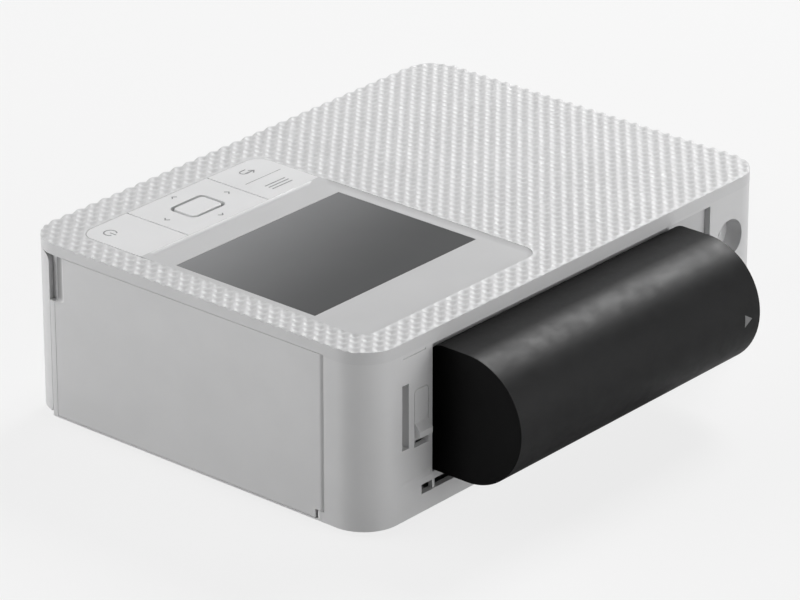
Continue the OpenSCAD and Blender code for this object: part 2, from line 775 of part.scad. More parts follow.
// Inner front wall with the paper mouth, the card slot and the port window
module front_panel() color(case_grey) placed() {
  flange = 6;
  x0 = xl + 1.5*wall;
  x1 = xr - pillar_return;
  difference() {
    union() {
      block([xl + cover_depth, x1 + pillar_return/2], [front_panel_y0, front_panel_y1], [cover_axis_z + cover_ear_r + play, case_top - play]);
      block([x0, x0 + wall/2], [front_panel_y1 - wall/2, front_panel_y1 + flange], [floor_z, case_top - play]);
      block([x0, xl + cover_depth + wall], [front_panel_y1 - wall/2, front_panel_y1 + wall/4], [floor_z, case_top - play]);
    }
    block([left_in + tray_t, right_in - tray_t], [yf, case_y0 + corner_r], [floor_z + tray_t, floor_z + tray_front_h - tray_t]);
    block([card_x0 - mouth_gap, card_x0 + card_w + mouth_gap], [yf, case_y0 + corner_r], [board_z + board_t, board_z + board_t + card_h]);
    block([port_x0 - mouth_gap, port_x0 + port_w + mouth_gap], [yf, case_y0 + corner_r], [board_z + board_t, board_z + board_t + port_h + mouth_gap]);
  }
}

// Floor of the battery bay with four keyhole slots and a window for the contacts
module bay_panel() color(inner_grey) placed() difference() {
  block([bay_x0 - bay_plate_lap, bay_x1 + seam], [bay_plate_y0, bay_plate_y1], [bay_z0 - bay_plate_lap, case_top - play]);
  for (p = hook_places()) {
    block([p.x - battery_travel - hook_gap, p.x + hook_len + hook_gap], [bay_plate_y0 - cut, yb],
      [p.y - hook_neck_h/2 - hook_gap, p.y + hook_neck_h/2 + hook_gap]);
    block([p.x - battery_travel - hook_gap, p.x - battery_travel + hook_len + hook_gap], [bay_plate_y0 - cut, yb],
      [p.y - hook_head_h/2 - hook_gap, p.y + hook_head_h/2 + hook_gap]);
  }
  block([terminal_x0(), terminal_x0() + terminal_w], [bay_plate_y0 - cut, yb], [battery_z - terminal_h/2, battery_z + terminal_h/2]);
}

function hook_places() = [for (x = [battery_x0 + hook_in, battery_x1 - hook_in - hook_len],
  z = [battery_z - hook_rise, battery_z + hook_rise]) [x, z]];
function terminal_x0() = battery_x1 - terminal_in;

// Four rubber feet
module feet() color(part_black) placed() for (p = foot_places)
  translate([p.x, p.y, 0]) cylinder(r = foot_r, h = foot_h + base_plate_t/4);

// Four screws that hold the base plate
module base_screws() color(steel_grey) placed() for (p = screw_places) translate([p.x, p.y, foot_h]) difference() {
  union() {
    translate([0, 0, play/2]) cylinder(r = screw_head_r, h = screw_head_h - play/2);
    translate([0, 0, screw_head_h - play/2]) cylinder(r = screw_r, h = screw_len - screw_head_h);
  }
  translate([0, 0, -cut]) cylinder(r = screw_r, h = cut + screw_head_h/2, $fn = 6);
}

// Dished frame round the display
module display_bezel() color(case_grey) placed() difference() {
  union() {
    translate([0, 0, lid_under - play]) linear_extrude(bezel_top - lid_under + play) bezel_outline(seam);
    translate([0, 0, lid_under - bezel_flange]) linear_extrude(bezel_flange) intersection() {
      translate([panel_mid.x, panel_mid.y]) round_rect([panel_w + 2*bezel_lap, panel_d + 2*bezel_lap], panel_r + bezel_lap);
      translate([panel_x0 - body_w, row_y1 + seam/2]) square([2*body_w, body_d]);
    }
  }
  dish_cut();
  block([lcd_mid.x - lcd_w/2 - lcd_lap, lcd_mid.x + lcd_w/2 + lcd_lap], [lcd_mid.y - lcd_d/2 - lcd_lap, lcd_mid.y + lcd_d/2 + lcd_lap],
    [lid_z - cut, dish_z - bezel_floor]);
  block([lcd_mid.x - lcd_w/2, lcd_mid.x + lcd_w/2], [lcd_mid.y - lcd_d/2, lcd_mid.y + lcd_d/2], [lid_z - cut, body_h]);
}

// Part of the panel's outline behind the key row
module bezel_outline(inset) intersection() {
  translate([panel_mid.x, panel_mid.y]) round_rect([panel_w - 2*inset, panel_d - 2*inset], panel_r - inset);
  translate([panel_x0 - cut, row_y1 + seam/2]) square([panel_w + 2*cut, panel_d]);
}

// Shallow dish with sloping sides
module dish_cut() hull() {
  rows = [[seam, body_h], [dish_run, dish_z]];
  for (row = rows) translate([panel_mid.x, (row_y1 + panel_y1)/2, row[1]]) linear_extrude(play)
    round_rect([panel_w - 2*row[0], panel_y1 - row_y1 - 2*row[0]], dish_r, $fn = 24);
}

// Cover glass flush with the dish
module lcd_glass() color([0.25, 0.26, 0.28]) placed()
  block([lcd_mid.x - lcd_w/2 + play/2, lcd_mid.x + lcd_w/2 - play/2], [lcd_mid.y - lcd_d/2 + play/2, lcd_mid.y + lcd_d/2 - play/2],
    [dish_z - bezel_floor, dish_z - play/4]);

// Display module behind the glass
module lcd_module() color(steel_grey) placed() {
  m = lcd_lap - play;
  block([lcd_mid.x - lcd_w/2 - m, lcd_mid.x + lcd_w/2 + m], [lcd_mid.y - lcd_d/2 - m, lcd_mid.y + lcd_d/2 + m],
    [dish_z - bezel_floor - lcd_module_t, dish_z - bezel_floor]);
}

// Board under the keys with its press switches
module key_board() color(board_green) placed() {
  difference() {
    block([panel_x0 - key_board_lap, panel_x1 + key_board_lap], [panel_y0 + play, row_y1 - play], [key_board_top - key_board_t, key_board_top]);
    for (p = key_posts()) translate([p.x, p.y, key_board_top - key_board_t - cut]) cylinder(r = screw_r/2, h = key_board_t + 2*cut);
  }
  for (p = switch_places()) block([p.x - switch_w/2, p.x + switch_w/2], [p.y - switch_w/2, p.y + switch_w/2], [key_board_top - play, key_board_top + switch_h]);
}

menu_mid = [(panel_x0 + menu_x1)/2, ok_mid.y];
power_mid = [(power_x0 + panel_x1)/2, ok_mid.y];
rocker_reach = key_row_d/3;
function switch_places() = [[menu_mid.x, menu_mid.y - rocker_reach], [menu_mid.x, menu_mid.y + rocker_reach],
  [ok_mid.x, ok_mid.y], [ok_mid.x, ok_mid.y - rocker_reach], [ok_mid.x, ok_mid.y + rocker_reach],
  [power_mid.x, power_mid.y]];

// Outline of one stretch of the key row, with the panel's front corners
module key_outline(x0, x1) intersection() {
  translate([panel_mid.x, panel_mid.y]) round_rect([panel_w - 2*key_gap, panel_d - 2*key_gap], panel_r - key_gap);
  translate([x0 + key_gap/2, panel_y0 - cut]) square([x1 - x0 - key_gap, key_row_d + cut - key_gap/2]);
}

module key_slab(x0, x1) translate([0, 0, key_under]) linear_extrude(key_top - key_under) key_outline(x0, x1);

module plunger(p, gap) translate([p.x, p.y, key_board_top + switch_h + gap])
  cylinder(r = plunger_r, h = key_under - key_board_top - switch_h - gap + play);

// Power key with its plunger
module power_key() color(case_grey) placed() {
  key_slab(power_x0, panel_x1 + cut);
  plunger(power_mid, key_travel + play/2);
}

// Arrow plate with the opening for the confirm key, which rocks on a bar
module nav_plate() color(case_grey) placed() {
  difference() {
    key_slab(menu_x1, power_x0);
    translate([ok_mid.x, ok_mid.y, key_under - cut]) linear_extrude(key_top)
      round_rect([ok_w + 2*ok_groove, ok_d + 2*ok_groove], ok_hole_r);
  }
  for (s = [-1, 1]) {
    plunger([ok_mid.x, ok_mid.y + s*rocker_reach], key_travel + play/2);
    x = ok_mid.x + s*(power_x0 - menu_x1)/3;
    rocker_foot([x, ok_mid.y]);
  }
}

// Round-ended foot that a rocking key stands on
module rocker_foot(p) {
  foot = [2*plunger_r, plunger_r];
  block([p.x - foot.x/2, p.x + foot.x/2], [p.y - foot.y/2, p.y + foot.y/2], [key_board_top + plunger_r/2 + play/4, key_under + play]);
  bar([p.x - foot.x/2, p.x + foot.x/2], [p.y, key_board_top + plunger_r/2 + play/4], plunger_r/2);
}

// Confirm key inside the arrow plate
module ok_key() color(case_grey) placed() {
  translate([ok_mid.x, ok_mid.y, key_under]) linear_extrude(key_top - key_under) round_rect([ok_w, ok_d], ok_hole_r/2);
  plunger(ok_mid, key_travel + play/2);
}

// Rocking key with the menu symbol behind and the back symbol in front
module menu_back_key() color(case_grey) placed() {
  key_slab(panel_x0 - cut, menu_x1);
  for (s = [-1, 1]) {
    plunger([menu_mid.x, menu_mid.y + s*rocker_reach], key_travel + play/2);
    rocker_foot([menu_mid.x + s*menu_key_w/4, menu_mid.y]);
  }
}

// Front cover that wraps both corners and swings down on two pins
module front_cover() color(case_grey) placed() difference() {
  union() {
    difference() {
      intersection() {
        body_ring([cover_bottom, cover_top]);
        block([xl - cut, xr + cut], [yf - cut, yf + cover_depth], [0, body_h]);
      }
      cover_shoulders();
    }
    cover_ears();
    cover_ribs();
  }
  for (s = [-1, 1]) bar([s*(body_w/2 - cover_ear_in) - 3*cover_ear_w, s*(body_w/2 - cover_ear_in) + 3*cover_ear_w],
    [cover_y, cover_axis_z], cover_pin_r + run_gap);
}

// Rounds off the corners at the side seams, the lower ones about the hinge axis
module cover_shoulders() {
  difference() {
    block([xl - cut, xr + cut], [yf + cover_depth - cover_corner_r, yf + cover_depth + cut], [cover_top - cover_corner_r, body_h]);
    bar([xl - 2*cut, xr + 2*cut], [yf + cover_depth - cover_corner_r, cover_top - cover_corner_r], cover_corner_r);
  }
  difference() {
    block([xl - cut, xr + cut], [cover_y, yf + cover_depth + cut], [0, cover_axis_z]);
    bar([xl - 2*cut, xr + 2*cut], [cover_y, cover_axis_z], cover_depth - cover_axis_in);
  }
}

// Ears on the inside of the cover, one on each side of each base ear
module cover_ears() for (s = [-1, 1], t = [-1, 1]) {
  x = s*(body_w/2 - cover_ear_in) + t*(cover_ear_w + play);
  difference() {
    union() {
      bar([x - cover_ear_w/2, x + cover_ear_w/2], [cover_y, cover_axis_z], cover_ear_r);
      block([x - cover_ear_w/2, x + cover_ear_w/2], [yf + wall/2, cover_y], [cover_axis_z - cover_ear_r, cover_axis_z + cover_ear_r]);
    }
    block([x - cover_ear_w, x + cover_ear_w], [yf, case_y0], [0, cover_bottom]);
  }
}

// Stiffening ribs on the inside of the cover
module cover_ribs() {
  rib_count = 6;
  rib_h = 1;
  rib_t = 1;
  span = body_w - 3*cover_ear_in;
  for (i = [0:rib_count - 1]) let(x = -span/2 + i*span/(rib_count - 1))
    block([x, x + rib_t], [yf + wall/2, yf + wall + rib_h], [cover_axis_z + cover_ear_r, cover_top - cover_corner_r]);
}

// Steel pins of the front cover's hinge
module cover_pins() color(steel_grey) placed() for (s = [-1, 1])
  bar([s*(body_w/2 - cover_ear_in) - 3*cover_ear_w/2, s*(body_w/2 - cover_ear_in) + 3*cover_ear_w/2], [cover_y, cover_axis_z], cover_pin_r);

// Ink door with its knuckle, finger scoop and ribs
module ink_door() color(case_grey) placed() difference() {
  union() {
    difference() {
      block([door_x0, xr], [door_y0, door_axis.y], [door_bottom, door_top]);
      finger_scoop();
    }
    translate([door_axis.x, door_axis.y, door_bottom]) cylinder(r = knuckle_r, h = door_top - door_bottom);
    door_ribs();
  }
  block([xr - corner_r, xr + cut], [door_axis.y - knuckle_r - lug_gap, door_y1 + cut], [0, door_bottom + lug_h + lug_gap]);
  translate([door_axis.x, door_axis.y, door_bottom - cut]) cylinder(r = door_pin_r + run_gap, h = body_h);
}

// Hollow for a fingertip at the door's free edge
module finger_scoop() {
  r = (scoop_w*scoop_w + scoop_depth*scoop_depth)/(2*scoop_depth);
  z0 = case_top - notch_h;
  translate([xr - scoop_depth + r, door_y0, z0 + scoop_depth]) {
    cylinder(r = r, h = body_h);
    rotate_extrude() translate([r - scoop_depth, 0]) circle(scoop_depth);
    translate([0, 0, -scoop_depth]) cylinder(r = r - scoop_depth, h = body_h);
  }
}

// Raised frame and cross ribs inside the door
module door_ribs() {
  x = [door_x0 - door_rib_h, door_x0 + wall/2];
  y = [door_y0 + door_rib_in, door_y1 - door_rib_in];
  z = [door_bottom + door_rib_in, door_top - door_rib_in];
  rib_count = 5;
  for (i = [0:rib_count - 1]) let(q = y[0] + i*(y[1] - y[0] - door_rib_t)/(rib_count - 1)) block(x, [q, q + door_rib_t], z);
  for (q = [z[0], z[1] - door_rib_t]) block(x, y, [q, q + door_rib_t]);
}

// Steel pin of the ink door's hinge
module door_pin() color(steel_grey) placed() translate([door_axis.x, door_axis.y, pin_z0])
  cylinder(r = door_pin_r, h = pin_z1 - pin_z0);

// Side view of the battery: a flat back, straight sides and a half-round outside
module battery_profile(inset) {
  r = battery_h/2 - inset;
  back_r = battery_back_r - inset;
  y0 = battery_y0 + inset;
  intersection() {
    translate([battery_arc_y, battery_z]) circle(r, $fn = 96);
    translate([battery_arc_y - run_gap, battery_z - battery_h]) square([battery_h, 2*battery_h]);
  }
  difference() {
    translate([y0, battery_z - r]) square([battery_arc_y - y0, 2*r]);
    difference() {
      translate([y0 - cut, battery_z + r - back_r]) square([back_r + cut, back_r + cut]);
      translate([y0 + back_r, battery_z + r - back_r]) circle(back_r);
    }
  }
}

// Battery shell, open at the back, with a pocket for the latch's tongue
module battery_shell() color(part_black) placed() difference() {
  side_sheet([battery_x0, battery_x1]) battery_profile(0);
  side_sheet([battery_x0 + battery_wall, battery_x1 - battery_wall]) battery_profile(battery_wall);
  block([battery_x0 + battery_wall, battery_x1 - battery_wall], [battery_y0 - cut, battery_y0 + back_plate_t + battery_wall],
    back_plate_z());
  block([battery_x1 - battery_wall, battery_x1 + cut], [battery_y0 - cut, tongue_y1 + play],
    [latch_bottom + tongue_rise - latch_travel - play, latch_bottom + tongue_rise + tongue_h + play]);
}

function back_plate_z() = [battery_bottom + battery_wall, battery_top - battery_back_r];

// Flat back of the battery with the four hooks that hold it in the bay
module battery_back() color(part_black) placed() {
  difference() {
    block([battery_x0 + battery_wall, battery_x1 - battery_wall], [battery_y0, battery_y0 + back_plate_t], back_plate_z());
    block([terminal_x0(), terminal_x0() + terminal_w], [battery_y0 - cut, battery_y0 + 2*back_plate_t],
      [battery_z - terminal_h/2, battery_z + terminal_h/2]);
  }
  for (p = hook_places()) {
    head_y = bay_plate_y0 - play;
    block([p.x, p.x + hook_len], [head_y - play, battery_y0 + back_plate_t/2], [p.y - hook_neck_h/2, p.y + hook_neck_h/2]);
    block([p.x, p.x + hook_len], [head_y - hook_head_t, head_y], [p.y - hook_head_h/2, p.y + hook_head_h/2]);
  }
}

// Six round cells, three on each side of the battery's middle
module battery_cells() color([0.35, 0.5, 0.62]) placed() {
  inner = battery_y0 + back_plate_t + cell_r + play/2;
  outer = battery_arc_y + battery_h/2 - battery_wall - cell_r - play/2;
  rise = max(cell_r + play/4, sqrt(pow(2*cell_r + play/4, 2) - pow(outer - inner, 2)));
  for (x = [battery_x0 + battery_len/2 - play - cell_len, battery_x0 + battery_len/2 + play],
    p = [[inner, battery_z - rise], [inner, battery_z + rise], [outer, battery_z]])
    bar([x, x + cell_len], p, cell_r);
}

// Contact strip in the battery's back
module battery_terminals() color([0.83, 0.68, 0.3]) placed() {
  pitch = terminal_w/blade_count;
  y = [battery_y0 + play, battery_y0 + back_plate_t];
  block([terminal_x0() + play, terminal_x0() + terminal_w - play], [battery_y0 + back_plate_t/2, y[1]], [battery_z - terminal_h/2 + play, battery_z + terminal_h/2 - play]);
  for (i = [0:blade_count - 1]) let(x = terminal_x0() + (i + 0.5)*pitch - blade_w/2)
    block([x, x + blade_w], y, [battery_z - terminal_h/3, battery_z + terminal_h/3]);
}

// Spring contacts in the floor of the bay
module bay_contacts() color(part_black) placed() {
  pitch = terminal_w/blade_count;
  block([terminal_x0() - wall, terminal_x0() + terminal_w + wall], [bay_plate_y0 - bay_plate_t, bay_plate_y0], [battery_z - terminal_h, battery_z + terminal_h]);
  for (i = [0:blade_count - 1]) let(x = terminal_x0() + (i + 0.5)*pitch - blade_w/2)
    block([x, x + blade_w], [bay_plate_y0 - play, bay_plate_y1 - play/2], [battery_z - terminal_h/3, battery_z + terminal_h/3]);
}

// Latch slider with its grip, tongue and the flange that keeps it in
module battery_latch() color(case_grey) placed() {
  y_in = yb - wall - play/2;
  translate([0, yb, 0]) rotate([90, 0, 0]) linear_extrude(wall + play) hull() {
    translate([latch_x0, latch_bottom]) square([latch_w, latch_h/2]);
    for (x = [latch_x0 + latch_r, latch_x0 + latch_w - latch_r]) translate([x, latch_top - latch_r]) circle(latch_r, $fn = 32);
  }
  block([bay_x1 + 2*seam + play, latch_x0 + latch_w + latch_flange], [y_in - latch_flange_t, y_in],
    [latch_bottom - latch_flange, latch_top + latch_flange]);
  side_sheet([latch_x0 + play/2, latch_x0 + latch_w - play/2]) polygon([[yb - play, latch_bottom + grip_rise],
    [yb + latch_grip, latch_bottom + 2*grip_rise], [yb + latch_grip, latch_bottom + grip_rise + grip_h/2],
    [yb - play, latch_bottom + grip_rise + grip_h]]);
  block([battery_x1 - battery_wall + play, latch_x0 + cut], [battery_y0 + play, tongue_y1],
    [latch_bottom + tongue_rise, latch_bottom + tongue_rise + tongue_h]);
}

latch_spring_z = latch_bottom - latch_flange - spring_len;
latch_spring_y = yb - wall - play/2 - latch_flange_t/2;

// Return spring under the latch
module latch_spring() color(steel_grey) placed() translate([latch_mid, latch_spring_y - spring_r, latch_spring_z])
  coil(spring_r, spring_wire, spring_turns, spring_len);

// Power socket at the bottom of its recess
module dc_jack() color(part_black) placed() {
  y1 = yb - jack_depth;
  difference() {
    block([jack_x - jack_body/2, jack_x + jack_body/2], [y1 - jack_body_d, y1], [jack_z - jack_body/2, jack_z + jack_body/2]);
    translate([jack_x, y1 + cut, jack_z]) rotate([90, 0, 0]) cylinder(r = jack_barrel_r, h = jack_body_d - wall + cut);
  }
  translate([jack_x, y1 - play, jack_z]) rotate([90, 0, 0]) cylinder(r = jack_pin_r, h = jack_body_d - wall);
}

// Upright supply board behind the power socket
module power_board() color(board_green) placed() {
  block([board_x0, board_x1 - wall], [power_board_y, power_board_y + board_t], [board_z + board_t, jack_z + jack_body/2]);
  can_shares = [0.2, 0.5, 0.78];
  can_r = 3;
  can_len = 8;
  for (q = can_shares) translate([board_x0 + q*(board_x1 - board_x0 - wall), power_board_y + play, board_z + board_t + 2*can_r])
    rotate([90, 0, 0]) cylinder(r = can_r, h = can_len);
}

// Main board, wider in front of the gears
module main_board() color(board_green) placed() difference() {
  translate([0, 0, board_z]) linear_extrude(board_t) polygon([[board_x0, board_y0], [board_wide_x1, board_y0],
    [board_wide_x1, board_step_y], [board_x1, board_step_y], [board_x1, board_y1], [board_x0, board_y1]]);
  for (p = board_posts()) translate([p.x, p.y, board_z - cut]) cylinder(r = screw_r, h = board_t + 2*cut);
}

// Chips, capacitors and sockets on the main board
module board_parts() color(part_black) placed() {
  z = board_z + board_t;
  w = board_x1 - board_x0;
  d = board_y1 - board_y0;
  chip_w = 12;
  chip_h = 1.4;
  chip_shares = [[0.5, 0.42, 1], [0.45, 0.58, 0.75], [0.62, 0.72, 0.6]];
  can_shares = [0.36, 0.52, 0.66];
  for (c = chip_shares) let(x = board_x0 + c[0]*w, y = board_y0 + c[1]*d, e = c[2]*chip_w/2)
    block([x - e, x + e], [y - e, y + e], [z, z + chip_h]);
  for (q = can_shares) translate([board_x0 + w/6, board_y0 + q*d, z]) cylinder(r = standoff_r, h = 3*standoff_r);
}

// Card slot shell behind the front panel
module card_slot() color(steel_grey) placed() difference() {
  z = board_z + board_t;
  block([card_x0, card_x0 + card_w], [front_panel_y1 + play, front_panel_y1 + card_len], [z, z + card_h]);
  block([card_x0 + card_h/6, card_x0 + card_w - card_h/6], [front_panel_y1 - cut, front_panel_y1 + card_len - card_h], [z + card_h/6, z + card_h - card_h/6]);
}

// Data port shell with its tongue
module usb_port() color(steel_grey) placed() {
  z = board_z + board_t;
  shell = 0.35;
  x = [port_x0, port_x0 + port_w];
  y = [front_panel_y1 + play, front_panel_y1 + port_len];
  translate([0, y[1], 0]) rotate([90, 0, 0]) linear_extrude(y[1] - y[0]) translate([(x[0] + x[1])/2, z + port_h/2]) difference() {
    round_rect([port_w, port_h], port_h/2 - shell);
    round_rect([port_w - 2*shell, port_h - 2*shell], port_h/2 - 2*shell);
  }
  block([x[0] + shell, x[1] - shell], [y[1] - 2*shell, y[1]], [z + shell, z + port_h - shell]);
  block([x[0] + port_h/2, x[1] - port_h/2], [y[0] + 2*shell, y[1] - shell], [z + port_h/2 - shell, z + port_h/2 + shell]);
}

// Outline shared by both side plates
module plate_outline() {
  lean = 6;
  polygon([[plate_front_y, floor_z], [plate_rear_y, floor_z], [plate_rear_y, plate_z1 - lean],
    [plate_rear_y - lean, plate_z1], [plate_front_y + lean, plate_z1], [plate_front_y, plate_z1 - lean]]);
}

// Holes in both side plates for bushes, the pinch roller and the head's shaft
module plate_holes() {
  for (p = [platen, feed, pickup]) translate(p) circle(bush_r);
  translate(pinch) circle(pinch_end_r + run_gap);
  translate(head_pivot) circle(head_shaft_r + run_gap);
}

// Left side plate with the studs of the two idlers
module left_plate() color(steel_grey) placed() {
  x = [left_in - plate_t, left_in];
  side_sheet(x) difference() {
    plate_outline();
    plate_holes();
    translate(takeup) circle(hub_r + run_gap);
  }
  for (p = peg_places()) bar([left_in - plate_t/2, cassette_x0 + cassette_end_t/2], p, peg_r);
  for (p = [idler, second]) bar([bracket_x1 + play/2, left_in - plate_t/2], p, stud_r);
}

function peg_places() = [for (s = [-1, 1]) [s*(guide.x + peg_share*(spool_out - guide.x)),
  guide.y + peg_share*(supply.y - guide.y)]];

// Right side plate with the opening that the ribbon cassette slides through
module right_plate() color(steel_grey) placed() side_sheet([right_in, right_in + plate_t]) difference() {
  plate_outline();
  plate_holes();
  cassette_profile(aperture_gap);
}

// Two cross rails that tie the side plates
module cross_rails() color(steel_grey) placed() {
  rail_h = 8;
  lip = 4;
  x = [left_in, right_in];
  block(x, [plate_rear_y - plate_t, plate_rear_y], [path_z + lip, path_z + lip + rail_h]);
  block(x, [plate_rear_y - lip, plate_rear_y], [path_z + lip, path_z + lip + plate_t]);
  block(x, [plate_front_y, plate_front_y + plate_t], [floor_z + tray_front_h + play, floor_z + tray_front_h + rail_h/2]);
}

// Inner wall behind the ink door with the cassette's opening
module ink_bay_frame() color(case_grey) placed() difference() {
  block([frame_x0, frame_x0 + frame_t], [door_y0 + pillar_return/2, door_y1 + wall], [floor_z, key_board_top - key_board_t - play]);
  side_sheet([frame_x0 - cut, frame_x0 + frame_t + cut]) cassette_profile(aperture_gap);
}

// Side view of the ribbon cassette: two spool housings joined by a low bridge
module cassette_profile(grow) {
  for (s = [-1, 1]) {
    translate([s*spool_out, supply.y]) circle(housing_r + grow);
    hull() {
      translate([s*spool_out, supply.y]) circle(neck_top_r + grow, $fn = 32);
      translate([s*guide.x, guide.y]) circle(neck_r + grow, $fn = 32);
    }
  }
  translate([-guide.x, guide.y - neck_r - grow]) square([2*guide.x, 1.5*neck_r + 2*grow]);
}

// Ribbon cassette: two end walls, two open spool housings, film guides and a grip
module ribbon_case() color(part_black) placed() {
  ends = [[cassette_x0, cassette_x0 + cassette_end_t], [cassette_x1 - cassette_end_t, cassette_x1]];
  for (x = ends) side_sheet(x) difference() {
    cassette_profile(0);
    for (s = [-1, 1]) translate([s*spool_out, supply.y]) circle(spool_end_r + 2*run_gap);
    for (p = peg_places()) translate(p) circle(peg_r + run_gap);
  }
  span = [cassette_x0 + cassette_end_t/2, cassette_x1 - cassette_end_t/2];
  for (s = [-1, 1]) {
    side_sheet(span) difference() {
      translate([s*spool_out, supply.y]) circle(housing_r);
      translate([s*spool_out, supply.y]) circle(housing_r - housing_wall);
      translate([s > 0 ? 0 : -spool_out - wall, floor_z]) square([spool_out + wall, supply.y - floor_z]);
    }
    bar(span, [s*guide.x, guide.y], guide_r);
  }
  grip_h = 2*housing_r/3;
  block([cassette_x1 - play, cassette_x1 + grip_len], [-spool_out - grip_h, -spool_out + grip_h],
    [takeup.y - wall/2, takeup.y + wall/2]);
}

// Direction from a roll's axis to the film where it runs tangent to its guide rod
function film_way(r) = heading([spool_out, supply.y], guide) + acos((r - guide_r)/norm([spool_out - guide.x, supply.y - guide.y]));

// One half of the film's side, from a roll to the middle, at a distance from the inner face
function film_line(r, t) = let(a = film_way(r)) [polar([spool_out, supply.y], r + t, a), polar(guide, guide_r + t, a),
  polar(guide, guide_r + t, (a - 90)/2), [guide.x, guide.y - guide_r - t]];
function mirrored(points) = [for (i = [len(points) - 1:-1:0]) [-points[i].x, points[i].y]];

// Ink film from the supply roll under both guides to the take-up roll
module ribbon_film() color([0.15, 0.14, 0.2]) placed() {
  inner = concat(film_line(supply_roll_r, film_gap), mirrored(film_line(takeup_roll_r, film_gap)));
  outer = concat(film_line(supply_roll_r, film_gap + film_t), mirrored(film_line(takeup_roll_r, film_gap + film_t)));
  side_sheet([roll_x0, roll_x1]) polygon(concat(inner, [for (i = [len(outer) - 1:-1:0]) outer[i]]));
}

// Spool core with its flanges
module spool(p) {
  x = [cassette_x0 + cassette_end_t + play, cassette_x1 - cassette_end_t - play];
  flange_r = supply_roll_r + wall/2;
  bar(x, p, spool_core_r);
  bar([cassette_x0 + play, cassette_x1 - 2*play], p, spool_end_r);
  bar([x[0], x[0] + housing_wall], p, flange_r);
  bar([x[1] - housing_wall, x[1]], p, flange_r);
}

module supply_spool() color(gear_cream) placed() spool(supply);

// Unused film on the supply spool
module supply_roll() color([0.15, 0.14, 0.2]) placed() film_roll(supply, supply_roll_r);

module film_roll(p, r) difference() {
  bar([roll_x0, roll_x1], p, r);
  bar([roll_x0 - cut, roll_x1 + cut], p, spool_core_r);
}

module takeup_spool() color(gear_cream) placed() difference() {
  spool(takeup);
  bar([cassette_x0 - cut, cassette_x0 + 2*cassette_end_t], takeup, spool_end_r/2);
}

// Used film on the take-up spool
module takeup_roll() color([0.15, 0.14, 0.2]) placed() film_roll(takeup, takeup_roll_r);

// Gear and hub that drive the take-up spool through the left plate
module takeup_gear() color(gear_cream) placed() {
  spur(takeup, takeup_teeth, takeup_turn, spool_end_r/4, hub_r);
  bar([gear_x1 - play, cassette_x0 - play], takeup, hub_r);
  bar([gear_x0 + play, cassette_x0 + cassette_end_t], takeup, spool_end_r/2 - run_gap);
}

// Brass-coloured bushes of the three driven shafts
module shaft_bushes() color([0.75, 0.6, 0.3]) placed() for (p = [platen, feed, pickup],
  side = [[left_in - plate_t, left_in, 1], [right_in + plate_t, right_in, -1]]) {
  lo = min(side[0], side[1]);
  flange = side[2] > 0 ? [side[1], side[1] + bush_flange_t] : [side[1] - bush_flange_t, side[1]];
  difference() {
    union() {
      bar([lo, lo + plate_t], p, bush_r);
      bar(flange, p, bush_flange_r);
    }
    bar([left_in - corner_r, right_in + corner_r], p, shaft_r + run_gap);
  }
}

// Rubber platen roller on its steel shaft
module platen_roller() color(part_black) placed() {
  bar([roll_x0, roll_x1], platen, platen_r);
  bar([left_in - plate_t - play, right_in + plate_t + play], platen, shaft_r);
}

// Knurled steel feed roller, turned down at its ends
module feed_roller() color(steel_grey) placed() {
  bar([left_in + bush_flange_t + play, right_in - bush_flange_t - play], feed, feed_r);
  bar([gear_x0, right_in + plate_t + play], feed, shaft_r);
}

module feed_gear() color(gear_cream) placed() spur(feed, feed_teeth, feed_turn, shaft_r, shaft_r + gear_module);

// Pinch roller that presses the paper on the feed roller
module pinch_roller() color(steel_grey) placed() {
  bar([roll_x0, roll_x1], pinch, pinch_r);
  bar([left_in - plate_t, right_in + plate_t], pinch, pinch_end_r);
}

// Pickup shaft with its two rubber tyres
module pickup_roller() color(part_black) placed() {
  mid = (left_in + right_in)/2;
  bar([gear_x0, right_in + plate_t + play], pickup, shaft_r);
  for (s = [-1, 1]) bar([mid + s*tyre_pitch/2 - tyre_w/2, mid + s*tyre_pitch/2 + tyre_w/2], pickup, pickup_r);
}

module pickup_gear() color(gear_cream) placed() spur(pickup, pickup_teeth, pickup_turn, shaft_r, shaft_r + gear_module);

module idler_gear() color(gear_cream) placed() spur(idler, idler_teeth, idler_turn, stud_r + run_gap, 2*stud_r);

module second_gear() color(gear_cream) placed() spur(second, second_teeth, second_turn, stud_r + run_gap, 2*stud_r);

// Can motor with its front boss and rear cap
module drive_motor() color(steel_grey) placed() {
  x1 = bracket_x1 - bracket_t;
  flat = motor_r/6;
  intersection() {
    bar([x1 - motor_len, x1], motor, motor_r);
    block([xl, 0], [motor.x - motor_r, motor.x + motor_r], [motor.y - motor_r + flat, motor.y + motor_r - flat]);
  }
  bar([x1 - motor_len - wall, x1 - motor_len + cut], motor, motor_r/3);
}

// Pinion on the motor's shaft
module motor_pinion() color(gear_cream) placed() {
  spur(motor, pinion_teeth, pinion_turn, shaft_r/2, shaft_r);
  bar([bracket_x1 - bracket_t + run_gap, gear_x1 - play], motor, shaft_r/2);
}

// Bracket that carries the motor and the outer ends of the idler studs
module motor_bracket() color(steel_grey) placed() {
  x = [bracket_x1 - bracket_t, bracket_x1];
  pad = 4;
  side_sheet(x) difference() {
    hull() {
      translate(motor) circle(motor_r - play, $fn = 32);
      for (p = [idler, second]) {
        translate(p) circle(pad, $fn = 32);
        translate([p.x - pad, floor_z]) square([2*pad, pad]);
      }
    }
    translate(motor) circle(shaft_r/2 + run_gap);
  }
  for (p = [idler, second]) block([bracket_x1 - play, left_in - plate_t], [p.x - pad/2, p.x + pad/2], [floor_z, floor_z + plate_t]);
}

